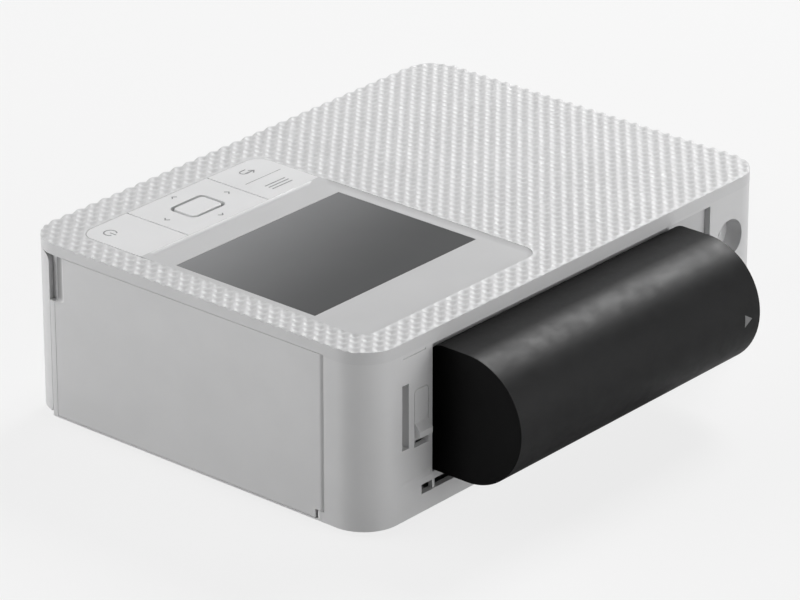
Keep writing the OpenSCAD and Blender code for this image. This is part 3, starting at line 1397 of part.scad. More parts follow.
// Paper tray behind the front panel, low under the pickup roller
module paper_tray() color(inner_grey) placed() {
  x = [left_in + run_gap, right_in - run_gap];
  y = [front_panel_y1, tray_rear_y];
  z = [floor_z, floor_z + tray_front_h];
  block(x, y, [z[0], z[0] + tray_t]);
  for (q = [x[0], x[1] - tray_t]) {
    block([q, q + tray_t], [y[0], tray_step_y], z);
    block([q, q + tray_t], [y[0], y[1]], [z[0], path_z - play]);
  }
  block(x, [y[0], tray_step_y], [z[1] - tray_t, z[1]]);
  block(x, [y[1] - tray_t, y[1]], [z[0], path_z - 2*tray_t]);
}

// Ribbed guide that carries the paper from the tray to the rear slot
module paper_guide() color(inner_grey) placed() {
  x = [left_in + play, right_in - play];
  y = [tray_rear_y + play, yb - wall - play];
  sheet = 1;
  rib_count = 9;
  rib_t = 1.2;
  difference() {
    union() {
      block([slot_x0, slot_x1], [y[0], y[1]], [floor_z, floor_z + sheet]);
      for (i = [0:rib_count - 1]) let(q = roll_x0 + i*(roll_x1 - roll_x0 - rib_t)/(rib_count - 1))
        side_sheet([q, q + rib_t]) polygon([[y[0], floor_z], [y[0], path_z - 2*play], [feed.x + feed_r, path_z - 2*play],
          [y[1], slot_z0], [y[1], floor_z]]);
    }
    bar([left_in, right_in], platen, platen_r + 2*play);
    bar([left_in, right_in], feed, feed_r + 2*play);
    block([left_in - cut, right_in + cut], [platen.x - platen_r - 2*play, platen.x + platen_r + 2*play], [platen.y, body_h]);
    block([left_in - cut, right_in + cut], [feed.x - feed_r - 2*play, feed.x + feed_r + 2*play], [feed.y, body_h]);
  }
}

// Bracket of the print head with its pivot shaft
module head_bracket() color(steel_grey) placed() {
  x = [left_in + head_in, right_in - head_in];
  y = [-head_w/2, head_pivot.x + head_shaft_r + plate_t];
  block(x, y, [head_plate_z, head_plate_z + head_plate_t]);
  for (q = [x[0], x[1] - head_tab_t]) block([q, q + head_tab_t], [head_pivot.x - 2*head_shaft_r, y[1]],
    [head_pivot.y - 2*head_shaft_r, head_plate_z + head_plate_t/2]);
  bar([left_in - plate_t, right_in + plate_t], head_pivot, head_shaft_r);
}

// Finned heat sink over the print line
module heat_sink() color(steel_grey) placed() {
  x = [left_in + head_in, right_in - head_in];
  z0 = path_z + head_rest + head_glaze_r/2 + head_bar_h;
  fins = floor((x[1] - x[0] - fin_t)/fin_pitch);
  block(x, [-head_w/2, head_w/2], [z0, z0 + sink_base_h]);
  for (i = [0:fins]) block([x[0] + i*fin_pitch, x[0] + i*fin_pitch + fin_t], [-head_w/2, head_w/2], [z0 + sink_base_h - play, head_plate_z]);
}

// Ceramic heating bar with its raised glaze line
module thermal_head() color([0.85, 0.83, 0.78]) placed() {
  x = [roll_x0, roll_x1];
  z0 = path_z + head_rest + head_glaze_r/2;
  block(x, [-head_w/3, head_w/3], [z0, z0 + head_bar_h]);
  bar(x, [0, z0 + head_glaze_r/2], head_glaze_r);
}

main_case();
base_plate();
top_cover();
front_panel();
bay_panel();
feet();
base_screws();
display_bezel();
lcd_glass();
lcd_module();
key_board();
power_key();
nav_plate();
ok_key();
menu_back_key();
front_cover();
cover_pins();
ink_door();
door_pin();
battery_shell();
battery_back();
battery_cells();
battery_terminals();
bay_contacts();
battery_latch();
latch_spring();
dc_jack();
power_board();
main_board();
board_parts();
card_slot();
usb_port();
left_plate();
right_plate();
cross_rails();
ink_bay_frame();
paper_tray();
paper_guide();
shaft_bushes();
ribbon_case();
ribbon_film();
supply_spool();
supply_roll();
takeup_spool();
takeup_roll();
takeup_gear();
platen_roller();
feed_roller();
feed_gear();
pinch_roller();
pickup_roller();
pickup_gear();
idler_gear();
second_gear();
drive_motor();
motor_pinion();
motor_bracket();
head_bracket();
heat_sink();
thermal_head();
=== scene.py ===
import json
import math

import bmesh
import bpy
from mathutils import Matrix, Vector, geometry


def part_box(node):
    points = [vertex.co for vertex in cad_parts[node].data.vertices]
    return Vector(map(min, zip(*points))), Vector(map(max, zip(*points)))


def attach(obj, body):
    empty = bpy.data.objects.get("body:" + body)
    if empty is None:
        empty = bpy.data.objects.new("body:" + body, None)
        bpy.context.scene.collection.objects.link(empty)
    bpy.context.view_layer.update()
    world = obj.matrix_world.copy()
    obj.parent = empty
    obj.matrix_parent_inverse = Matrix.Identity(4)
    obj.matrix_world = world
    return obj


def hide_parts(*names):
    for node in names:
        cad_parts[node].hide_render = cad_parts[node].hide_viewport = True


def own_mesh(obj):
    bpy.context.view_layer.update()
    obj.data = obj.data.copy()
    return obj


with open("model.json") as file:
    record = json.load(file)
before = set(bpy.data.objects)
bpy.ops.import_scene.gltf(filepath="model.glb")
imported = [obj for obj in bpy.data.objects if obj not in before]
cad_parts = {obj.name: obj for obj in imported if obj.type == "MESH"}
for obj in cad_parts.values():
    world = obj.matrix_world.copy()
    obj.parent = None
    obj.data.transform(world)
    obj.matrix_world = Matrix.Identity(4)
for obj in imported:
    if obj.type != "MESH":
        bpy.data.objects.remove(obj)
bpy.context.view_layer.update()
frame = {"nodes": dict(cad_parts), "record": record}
nodes = frame["nodes"]
record = frame["record"]
slotOf = {row["node"]: row["material_slot"] for row in record["subparts"]}
bodyOf = {node: body for body, names in record["behaviour"]["bodies"].items() for node in names}
print("stage: frame loaded")


def linkNodes(tree, outSocket, inSocket):
    tree.links.new(outSocket, inSocket)


def addNode(tree, kind, **values):
    made = tree.nodes.new(kind)
    for key, value in values.items():
        setattr(made, key, value)
    return made


def mathNode(tree, operation, *operands):
    made = addNode(tree, "ShaderNodeMath", operation=operation)
    for socket, value in zip(made.inputs, operands):
        if isinstance(value, (int, float)):
            socket.default_value = value
        else:
            linkNodes(tree, value, socket)
    return made.outputs[0]


def noiseAt(tree, vector, size, detail, rough):
    made = addNode(tree, "ShaderNodeTexNoise")
    made.inputs["Scale"].default_value = 1.0/size
    made.inputs["Detail"].default_value = detail
    made.inputs["Roughness"].default_value = rough
    linkNodes(tree, vector, made.inputs["Vector"])
    return made.outputs["Fac"]


def mapRange(tree, value, start, end, low, high, softly=True):
    made = addNode(tree, "ShaderNodeMapRange", interpolation_type="SMOOTHSTEP" if softly else "LINEAR")
    for label, number in (("From Min", start), ("From Max", end), ("To Min", low), ("To Max", high)):
        made.inputs[label].default_value = number
    linkNodes(tree, value, made.inputs["Value"])
    return made.outputs["Result"]


def spreadNoise(tree, noise, low, high):
    return mapRange(tree, noise, *wander["noiseSpan"], low, high, softly=False)


def axisOf(tree, where, axis):
    place = addNode(tree, "ShaderNodeSeparateXYZ")
    linkNodes(tree, where, place.inputs[0])
    return place.outputs[axis]


def scaledColor(tree, colorOut, share):
    made = addNode(tree, "ShaderNodeVectorMath", operation="SCALE")
    linkNodes(tree, colorOut, made.inputs[0])
    linkNodes(tree, share, made.inputs["Scale"])
    return made.outputs[0]


def tinted(color, share):
    return tuple(min(1.0, c*share) for c in color) + (1.0,)


def mixColors(tree, share, one, two):
    made = addNode(tree, "ShaderNodeMix", data_type="RGBA")
    for index, value in ((0, share), (6, one), (7, two)):  # a colour mix has its two colours in sockets 6 and 7
        if isinstance(value, tuple):
            made.inputs[index].default_value = value
        else:
            linkNodes(tree, value, made.inputs[index])
    return made.outputs[2]


# The display carries painted light: a painted reflection that fades from one point to another, and a painted shadow of
# its frame as a darker band along two of its edges. Sizes in metres.
screen = dict(reflectionFrom=(0.035, -0.062, 0.057), reflectionTo=(0.020, 0.010, 0.057), lightShare=1.58, darkShare=0.56,
              shadowBands=(("X", 0.0024, 0.62), ("Y", 0.0009, 0.6)), shadowSoftness=0.2)


def screenPaintedReflectionAndShadow(tree, where):
    # painted reflection fading across the glass
    along = Vector(screen["reflectionTo"]) - Vector(screen["reflectionFrom"])
    shift = addNode(tree, "ShaderNodeVectorMath", operation="SUBTRACT")
    linkNodes(tree, where, shift.inputs[0])
    shift.inputs[1].default_value = screen["reflectionFrom"]
    travel = addNode(tree, "ShaderNodeVectorMath", operation="DOT_PRODUCT")
    linkNodes(tree, shift.outputs[0], travel.inputs[0])
    travel.inputs[1].default_value = along/along.length_squared
    share = mapRange(tree, travel.outputs["Value"], 0.0, 1.0, screen["lightShare"], screen["darkShare"])
    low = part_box("lcd_module")[0]
    # painted shadow of the frame on the glass along two edges
    for axis, width, least in screen["shadowBands"]:
        edge, soft = low["XY".index(axis)] + width, width*screen["shadowSoftness"]
        band = mapRange(tree, axisOf(tree, where, axis), edge - soft, edge + soft, least, 1.0)
        share = mathNode(tree, "MULTIPLY", share, band)
    return share


# The battery carries painted shade on its end faces and a painted shadow where it goes into its bay, in its colour and
# its shine. Sizes in metres.
battery = dict(endShadeShare=0.4, endStart=0.0003, endFull=0.0001, rootShadowShare=0.1, rootShadowReach=0.016)


def batteryPaintedShade(tree, where):
    low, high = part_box("battery_shell")
    half, back = (high.x - low.x)/2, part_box("main_case")[1].y
    fromMiddle = mathNode(tree, "ABSOLUTE", mathNode(tree, "SUBTRACT", axisOf(tree, where, "X"), (low.x + high.x)/2))
    # painted shade on the end faces
    ends = mapRange(tree, fromMiddle, half - battery["endStart"], half - battery["endFull"], 1.0, battery["endShadeShare"])
    # painted shadow where the battery goes into its bay
    root = mapRange(tree, axisOf(tree, where, "Y"), back, back + battery["rootShadowReach"], battery["rootShadowShare"], 1.0)
    return mathNode(tree, "MULTIPLY", ends, root)


# The keys' sides carry painted shade, darker below their tops, as in the gaps between the keys.
keySideShade = dict(share=0.8, lower=0.0003, upper=0.00005)  # the keys' sides are darker; metres below the keys' tops


def keySidePaintedShade(tree, where):
    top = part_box("power_key")[1].z
    start, end = top - keySideShade["lower"], top - keySideShade["upper"]
    # painted shade on the keys' sides
    return mapRange(tree, axisOf(tree, where, "Z"), start, end, keySideShade["share"], 1.0)


# The ink door carries painted shade inside the finger scoop at its front edge. Sizes in metres.
doorScoop = dict(share=0.42, depth=0.0013, skin=0.0001, width=0.0038, soft=0.0003)


def doorScoopPaintedShade(tree, where):
    low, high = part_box("ink_door")
    start, end = high.x - doorScoop["depth"], high.x - doorScoop["skin"]
    # painted shade inside the scoop
    inward = mapRange(tree, axisOf(tree, where, "X"), start, end, doorScoop["share"], 1.0)
    past = low.y + doorScoop["width"]
    beyond = mapRange(tree, axisOf(tree, where, "Y"), past, past + doorScoop["soft"], doorScoop["share"], 1.0)
    return mathNode(tree, "MAXIMUM", inward, beyond)


# One entry per finish: colour, roughness, height and size of the grain in metres, drift as the share by which the
# colour wanders, metal, brushed for a grain drawn out along X, tracks for the lines of a circuit board, and shine.
# A function under share paints light and shade into the colour by place, with shineToo into the shine as well.
caseWhite = dict(color=(0.72, 0.72, 0.724), rough=0.46, grain=0.000012, size=0.00035, drift=0.025)
keyWhite = dict(color=(0.82, 0.82, 0.824), rough=0.42, grain=0.000005, size=0.00025, drift=0.02)
finishes = {
    "case_shell": caseWhite,
    "door_shell": dict(caseWhite, share=doorScoopPaintedShade),
    "case_inner": dict(color=(0.30, 0.30, 0.303), rough=0.55, grain=0.00002, size=0.0005, drift=0.05),
    "lid_shell": dict(color=(0.69, 0.69, 0.694), rough=0.50, grain=0.000006, size=0.0003, drift=0.02),
    "key_plastic": dict(keyWhite, share=keySidePaintedShade),
    "ok_cap": keyWhite,
    "bezel": dict(color=(0.61, 0.61, 0.614), rough=0.44, grain=0.000005, size=0.00025, drift=0.015),
    "socket_well": dict(color=(0.74, 0.74, 0.744), rough=0.5, grain=0.000012, size=0.0004, drift=0.03),
    "bay_floor": dict(color=(0.62, 0.62, 0.624), rough=0.5, grain=0.000014, size=0.0004, drift=0.03),
    "mark_grey": dict(color=(0.21, 0.21, 0.212), rough=0.5, grain=0.000004, size=0.0003, drift=0.04),
    "screen": dict(color=(0.21, 0.212, 0.215), rough=0.24, grain=0.0000005, size=0.002, drift=0.02, shine=0.22,
                   share=screenPaintedReflectionAndShadow),
    "module_metal": dict(color=(0.62, 0.63, 0.64), rough=0.35, metal=1.0, grain=0.000004, size=0.0006, brushed=1.0),
    "battery_plastic": dict(color=(0.0115, 0.0115, 0.012), rough=0.49, grain=0.000010, size=0.0003, drift=0.12,
                            shine=0.245, share=batteryPaintedShade, shineToo=True),
    "black_plastic": dict(color=(0.020, 0.020, 0.022), rough=0.5, grain=0.000016, size=0.0004, drift=0.1),
    "foot_rubber": dict(color=(0.025, 0.025, 0.026), rough=0.8, grain=0.00003, size=0.0006, drift=0.1),
    "roller_rubber": dict(color=(0.035, 0.035, 0.037), rough=0.7, grain=0.00002, size=0.0003, drift=0.1),
    "steel": dict(color=(0.56, 0.57, 0.58), rough=0.34, metal=1.0, grain=0.000005, size=0.0008, brushed=1.0),
    "screw_steel": dict(color=(0.20, 0.20, 0.21), rough=0.4, metal=1.0, grain=0.000005, size=0.0004),
    "sink_metal": dict(color=(0.66, 0.67, 0.68), rough=0.4, metal=1.0, grain=0.000006, size=0.0009, brushed=1.0),
    "brass": dict(color=(0.70, 0.50, 0.22), rough=0.3, metal=1.0, grain=0.000004, size=0.0005, brushed=0.5),
    "board": dict(color=(0.012, 0.10, 0.055), rough=0.32, grain=0.00001, size=0.0008, drift=0.05, tracks=True),
    "gear_plastic": dict(color=(0.78, 0.75, 0.66), rough=0.45, grain=0.000006, size=0.0004, drift=0.03),
    "film": dict(color=(0.015, 0.012, 0.022), rough=0.18, grain=0.000004, size=0.004, drift=0.1),
    "ceramic": dict(color=(0.72, 0.69, 0.63), rough=0.28, grain=0.000004, size=0.0006, drift=0.03),
    "cell_wrap": dict(color=(0.06, 0.13, 0.26), rough=0.3, grain=0.000006, size=0.001, drift=0.06),
}
# Noise over every surface, as size in metres, detail and roughness; the grain's size is in the finishes. The cloud
# moves the colour, and the smear moves the roughness by the share roughSpread, while the noise rises over noiseSpan.
# A fully brushed grain is drawn out until drawnOut of its scale along X is gone.
wander = dict(grain=(3.0, 0.6), cloud=(0.021, 3.0, 0.5), smear=(0.006, 4.0, 0.65), noiseSpan=(0.3, 0.7),
              roughSpread=0.12, drawnOut=0.94)
boardLines = dict(scale=420.0, width=0.07, lift=2.1)  # cells per metre, width as a share of a cell, brightness


def withTracks(tree, where, color, colorOut):
    cells = addNode(tree, "ShaderNodeTexVoronoi", feature="DISTANCE_TO_EDGE", distance="EUCLIDEAN")
    cells.inputs["Scale"].default_value = boardLines["scale"]
    linkNodes(tree, where, cells.inputs["Vector"])
    onLine = mathNode(tree, "LESS_THAN", cells.outputs["Distance"], boardLines["width"])
    return mixColors(tree, onLine, colorOut, tinted(color, boardLines["lift"]))


def makeFinish(name, color, rough, grain, size, metal=0.0, drift=0.03, brushed=0.0, tracks=False, shine=0.5,
               share=None, shineToo=False):
    mat = bpy.data.materials.new(name)
    mat.use_nodes = True
    tree = mat.node_tree
    shader = tree.nodes["Principled BSDF"]
    where = addNode(tree, "ShaderNodeTexCoord").outputs["Object"]
    fineVector = where
    if brushed:
        mapping = addNode(tree, "ShaderNodeMapping")
        mapping.inputs["Scale"].default_value = (1.0 - wander["drawnOut"]*brushed, 1.0, 1.0)
        linkNodes(tree, where, mapping.inputs["Vector"])
        fineVector = mapping.outputs["Vector"]
    fine = noiseAt(tree, fineVector, size, *wander["grain"])
    cloud = noiseAt(tree, where, *wander["cloud"])
    smear = noiseAt(tree, where, *wander["smear"])
    tone = spreadNoise(tree, cloud, 0.0, 1.0)
    colorOut = mixColors(tree, tone, tinted(color, 1.0 - drift), tinted(color, 1.0 + drift))
    if tracks:
        colorOut = withTracks(tree, where, color, colorOut)
    shader.inputs["Specular IOR Level"].default_value = shine
    # paint light and shade into the colour by place, and with shineToo into the shine
    if share:
        paintedLightShare = share(tree, where)
        colorOut = scaledColor(tree, colorOut, paintedLightShare)
        if shineToo:
            linkNodes(tree, mathNode(tree, "MULTIPLY", paintedLightShare, shine), shader.inputs["Specular IOR Level"])
    linkNodes(tree, colorOut, shader.inputs["Base Color"])
    roughLow, roughHigh = rough*(1.0 - wander["roughSpread"]), rough*(1.0 + wander["roughSpread"])
    linkNodes(tree, spreadNoise(tree, smear, roughLow, roughHigh), shader.inputs["Roughness"])
    bump = addNode(tree, "ShaderNodeBump")
    bump.inputs["Distance"].default_value = grain
    bump.inputs["Strength"].default_value = 1.0
    linkNodes(tree, fine, bump.inputs["Height"])
    linkNodes(tree, bump.outputs["Normal"], shader.inputs["Normal"])
    shader.inputs["Metallic"].default_value = metal
    return mat


finish = {name: makeFinish(name, **values) for name, values in finishes.items()}
finishOf = {**slotOf, "ink_door": "door_shell", "ok_key": "ok_cap", "display_bezel": "bezel",
            "dc_jack": "socket_well", "bay_panel": "bay_floor"}
for name, obj in nodes.items():
    for slotRow in obj.material_slots:
        slotRow.material = finish[finishOf[name]]
print("stage: finishes")


def plainMesh(name, verts, faces):
    mesh = bpy.data.meshes.new(name)
    mesh.from_pydata(verts, [], faces)
    mesh.update()
    return mesh


def addObject(name, data):
    obj = bpy.data.objects.new(name, data)
    bpy.context.scene.collection.objects.link(obj)
    return obj


def addPiece(name, mesh, slotName, body, finishName=None):
    obj = addObject(name, mesh)
    mesh.materials.clear()
    mesh.materials.append(finish[finishName or slotName])
    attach(obj, body)
    return obj


# Angles in degrees, distances in metres; foldLimit tells when a rounded mesh has faces that fold over.
softening = dict(weld=2e-6, flatAngle=0.6, edgeAngle=38.0, smoothAngle=34.0, foldLimit=1.004, onEdge=1e-5)
# Outer pieces whose edges are rounded, with the radius in metres and the number of steps.
softEdges = {
    "main_case": (0.00028, 2), "front_cover": (0.00030, 2), "ink_door": (0.00030, 2), "base_plate": (0.00025, 1),
    "display_bezel": (0.00022, 2), "power_key": (0.00012, 2), "nav_plate": (0.00012, 2), "ok_key": (0.00035, 3),
    "menu_back_key": (0.00012, 2), "battery_shell": (0.00025, 2), "battery_latch": (0.00035, 3), "feet": (0.0004, 2),
    "front_panel": (0.0003, 2), "bay_panel": (0.00022, 1), "dc_jack": (0.00022, 1), "battery_back": (0.0002, 1),
    "ribbon_case": (0.00022, 1),
}
# Sides of the keys that are pulled in by this much, in metres, so that the gaps between them read as fine dark lines.
keyGap = dict(amount=0.00012, sides={"power_key": (-1, 1), "nav_plate": (-1, 1), "menu_back_key": (1,)})


def widenGaps(bm, node):
    low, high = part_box(node)
    for v in bm.verts:
        for side in keyGap["sides"][node]:
            if abs(v.co.x - (low.x if side < 0 else high.x)) < softening["onEdge"]:
                v.co.x -= side*keyGap["amount"]


def mergedCopy(node):
    bm = bmesh.new()
    bm.from_mesh(nodes[node].data)
    bmesh.ops.remove_doubles(bm, verts=bm.verts, dist=softening["weld"])
    bmesh.ops.dissolve_limit(bm, angle_limit=math.radians(softening["flatAngle"]), verts=bm.verts, edges=bm.edges)
    return bm


def meshOf(bm, name):
    bm.verts.index_update()
    mesh = plainMesh(name, [v.co.copy() for v in bm.verts], [[v.index for v in f.verts] for f in bm.faces])
    bm.free()
    return mesh


def shadeSmooth(mesh, angle=softening["smoothAngle"]):
    mesh.polygons.foreach_set("use_smooth", [True]*len(mesh.polygons))
    mesh.set_sharp_from_angle(angle=math.radians(angle))


def bakeModifiers(obj):
    graph = bpy.context.evaluated_depsgraph_get()
    baked = bpy.data.meshes.new_from_object(obj.evaluated_get(graph))
    obj.modifiers.clear()
    old = obj.data
    obj.data = baked
    bpy.data.meshes.remove(old)


def facesFoldOver(mesh):
    mesh.calc_loop_triangles()
    covered = sum(t.area for t in mesh.loop_triangles)
    return covered > softening["foldLimit"]*sum(p.area for p in mesh.polygons)


def bevelled(node, width, steps, inTriangles):
    bm = mergedCopy(node)
    if node in keyGap["sides"]:
        widenGaps(bm, node)
    if inTriangles:
        bmesh.ops.triangulate(bm, faces=bm.faces)
    obj = addObject(node + "Soft", meshOf(bm, node + "Soft"))
    bevel = obj.modifiers.new("bevel", "BEVEL")
    bevel.width = width
    bevel.segments = steps
    bevel.limit_method = "ANGLE"
    bevel.angle_limit = math.radians(softening["edgeAngle"])
    bevel.use_clamp_overlap = True
    bevel.miter_outer = "MITER_ARC"
    bakeModifiers(obj)
    return obj


def roundEdges(node, width, steps):
    obj = bevelled(node, width, steps, False)
    if facesFoldOver(obj.data):
        bpy.data.objects.remove(obj)
        obj = bevelled(node, width, steps, True)
    shadeSmooth(obj.data)
    weigh = obj.modifiers.new("weigh", "WEIGHTED_NORMAL")
    weigh.keep_sharp = True
    bakeModifiers(obj)
    obj.data.materials.clear()
    obj.data.materials.append(finish[finishOf[node]])
    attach(obj, bodyOf[node])
    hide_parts(node)


for node, (width, steps) in softEdges.items():
    roundEdges(node, width, steps)
print("stage: rounded edges")


def addLatchSpring():
    mesh = meshOf(mergedCopy("latch_spring"), "latchReturnSpring")
    obj = addPiece("latchReturnSpring", mesh, "steel", bodyOf["latch_spring"])
    shadeSmooth(obj.data)
    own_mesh(obj)
    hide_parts("latch_spring")


addLatchSpring()
print("stage: latch spring")

# The lid's top: a net of fine ridges with a shallow dimple in each mesh. Sizes in metres; the phases slide the net,
# cells is the number of points along one mesh and hollow the dimples' shape. Around the display and keys the net eases
# out to a flat rim, which lies just under the keys' tops beside them. Toward the back the outer edge drops a little.
# The shell's skirt laps over the seam to the case.
lid = dict(pitchX=0.00522, pitchY=0.004288, cells=8, depth=0.00072, hollow=0.55, step=0.00052,
           phaseX=-0.00308, phaseY=-0.00084, cornerR=0.012, panelR=0.0055, panelGap=0.0002, panelLap=0.002,
           rimDrop=0.00075, easeWidth=0.0011, edgeWidth=0.0007, edgeDrop=0.00045, keyRimDrop=0.00028, keyRimFade=0.006,
           seamLap=0.00043, seamStep=0.0002, seamOut=0.00002, topSkin=0.0001, smoothAngle=62.0, touch=1e-5)


def roundedLoop(low, high, radius, spacing):
    corners = [((high.x - radius, high.y - radius), 0), ((low.x + radius, high.y - radius), 90),
               ((low.x + radius, low.y + radius), 180), ((high.x - radius, low.y + radius), 270)]
    loop = []
    steps = max(4, int(radius*math.pi/2/spacing))
    for (cx, cy), start in corners:
        for i in range(steps + 1):
            a = math.radians(start + 90.0*i/steps)
            loop.append(Vector((cx + radius*math.cos(a), cy + radius*math.sin(a))))
    dense = []
    for i, p in enumerate(loop):
        q = loop[(i + 1) % len(loop)]
        count = max(1, int((q - p).length/spacing))
        dense.extend(p.lerp(q, k/count) for k in range(count))
    return dense


def insideRounded(p, low, high, radius, margin):
    dx = max(low.x + radius - p[0], 0.0, p[0] - high.x + radius)
    dy = max(low.y + radius - p[1], 0.0, p[1] - high.y + radius)
    if p[0] < low.x + margin or p[0] > high.x - margin or p[1] < low.y + margin or p[1] > high.y - margin:
        return False
    return math.hypot(dx, dy) < radius - margin if (dx > 0 and dy > 0) else True


def edgeDistance(p, low, high, radius):
    dx = max(low.x + radius - p.x, p.x - high.x + radius)
    dy = max(low.y + radius - p.y, p.y - high.y + radius)
    if dx > 0 and dy > 0:
        return math.hypot(dx, dy) - radius
    return max(dx, dy) - radius


def clampShare(value):
    return min(1.0, max(0.0, value))


def panelHole():
    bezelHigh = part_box("display_bezel")[1]
    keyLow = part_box("menu_back_key")[0]
    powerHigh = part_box("power_key")[1]
    gap = lid["panelGap"]
    return Vector((keyLow.x - gap, keyLow.y - gap)), Vector((powerHigh.x + gap, bezelHigh.y - lid["panelLap"]))


def ringEdges(first, count):
    return [(first + i, first + (i + 1) % count) for i in range(count)]


# The points of the net outside the hole, numbered from first on, and the edges that run along its ridges.
def netOf(low, high, holeLow, holeHigh, first):
    cells, half = lid["cells"], lid["step"]*0.5
    stepX, stepY = lid["pitchX"]/cells, lid["pitchY"]/cells
    points, places, ridges = [], {}, []
    for i in range(math.floor((low.x + lid["phaseX"])/stepX), math.ceil((high.x + lid["phaseX"])/stepX)):
        for j in range(math.floor((low.y + lid["phaseY"])/stepY), math.ceil((high.y + lid["phaseY"])/stepY)):
            p = Vector((i*stepX - lid["phaseX"], j*stepY - lid["phaseY"]))
            if insideRounded(p, low, high, lid["cornerR"], half):
                if not insideRounded(p, holeLow, holeHigh, lid["panelR"], -half):
                    places[i, j] = first + len(points)
                    points.append(p)
    for (i, j), start in places.items():
        for turn in (1, -1):
            if (i - turn*j) % cells == 0 and (i + 1, j + turn) in places:
                ridges.append((start, places[i + 1, j + turn]))
    return points, ridges


# Three shares at each point of the lid's top: ease grows from the hole's flat rim to the full relief, edge falls to
# nothing where the outer edge drops at the back, and keyRim marks the flat rim beside the keys, which is lower.
def addLidShares(mesh, low, high, holeLow, holeHigh):
    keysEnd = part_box("power_key")[1].y
    shares = {"ease": [], "edge": [], "keyRim": []}
    for v in mesh.vertices:
        s = clampShare(edgeDistance(v.co, holeLow, holeHigh, lid["panelR"])/lid["easeWidth"])
        ease = s*s*(3.0 - 2.0*s)
        fromEdge = clampShare(-edgeDistance(v.co, low, high, lid["cornerR"])/lid["edgeWidth"])
        towardBack = clampShare(1.0 - (high.y - v.co.y)/lid["cornerR"])
        besideKeys = clampShare(1.0 - (v.co.y - keysEnd)/lid["keyRimFade"])
        shares["ease"].append(ease)
        shares["edge"].append(1.0 - towardBack*(1.0 - fromEdge))
        shares["keyRim"].append(besideKeys*(1.0 - ease))
    for name, values in shares.items():
        mesh.attributes.new(name, "FLOAT", "POINT").data.foreach_set("value", values)


def lidTopMesh():
    low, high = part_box("top_cover")
    holeLow, holeHigh = panelHole()
    outer = roundedLoop(low, high, lid["cornerR"], lid["step"])
    inner = roundedLoop(holeLow, holeHigh, lid["panelR"], lid["step"])
    net, ridges = netOf(low, high, holeLow, holeHigh, len(outer) + len(inner))
    edges = ringEdges(0, len(outer)) + ringEdges(len(outer), len(inner)) + ridges
    made = geometry.delaunay_2d_cdt(outer + inner + net, edges, [], 1, 1e-7)  # 1 keeps the faces inside the outline
    verts, faces = made[0], made[2]
    bm = bmesh.new()
    corners = [bm.verts.new((v.x, v.y, high.z)) for v in verts]
    for face in faces:
        middle = (sum(verts[i].x for i in face)/len(face), sum(verts[i].y for i in face)/len(face))
        if not insideRounded(middle, holeLow, holeHigh, lid["panelR"], 0.0):
            bm.faces.new([corners[i] for i in face])
    bmesh.ops.delete(bm, geom=[v for v in bm.verts if not v.link_faces], context="VERTS")
    rim = [e for e in bm.edges if len(e.link_faces) == 1]
    skirt = bmesh.ops.extrude_edge_only(bm, edges=rim)
    for item in skirt["geom"]:
        if isinstance(item, bmesh.types.BMVert):
            item.co.z -= lid["rimDrop"]
    bmesh.ops.recalc_face_normals(bm, faces=bm.faces)
    mesh = meshOf(bm, "lidTop")
    addLidShares(mesh, low, high, holeLow, holeHigh)
    return mesh


def namedShare(tree, name):
    made = addNode(tree, "GeometryNodeInputNamedAttribute", data_type="FLOAT")
    made.inputs["Name"].default_value = name
    return made.outputs["Attribute"]


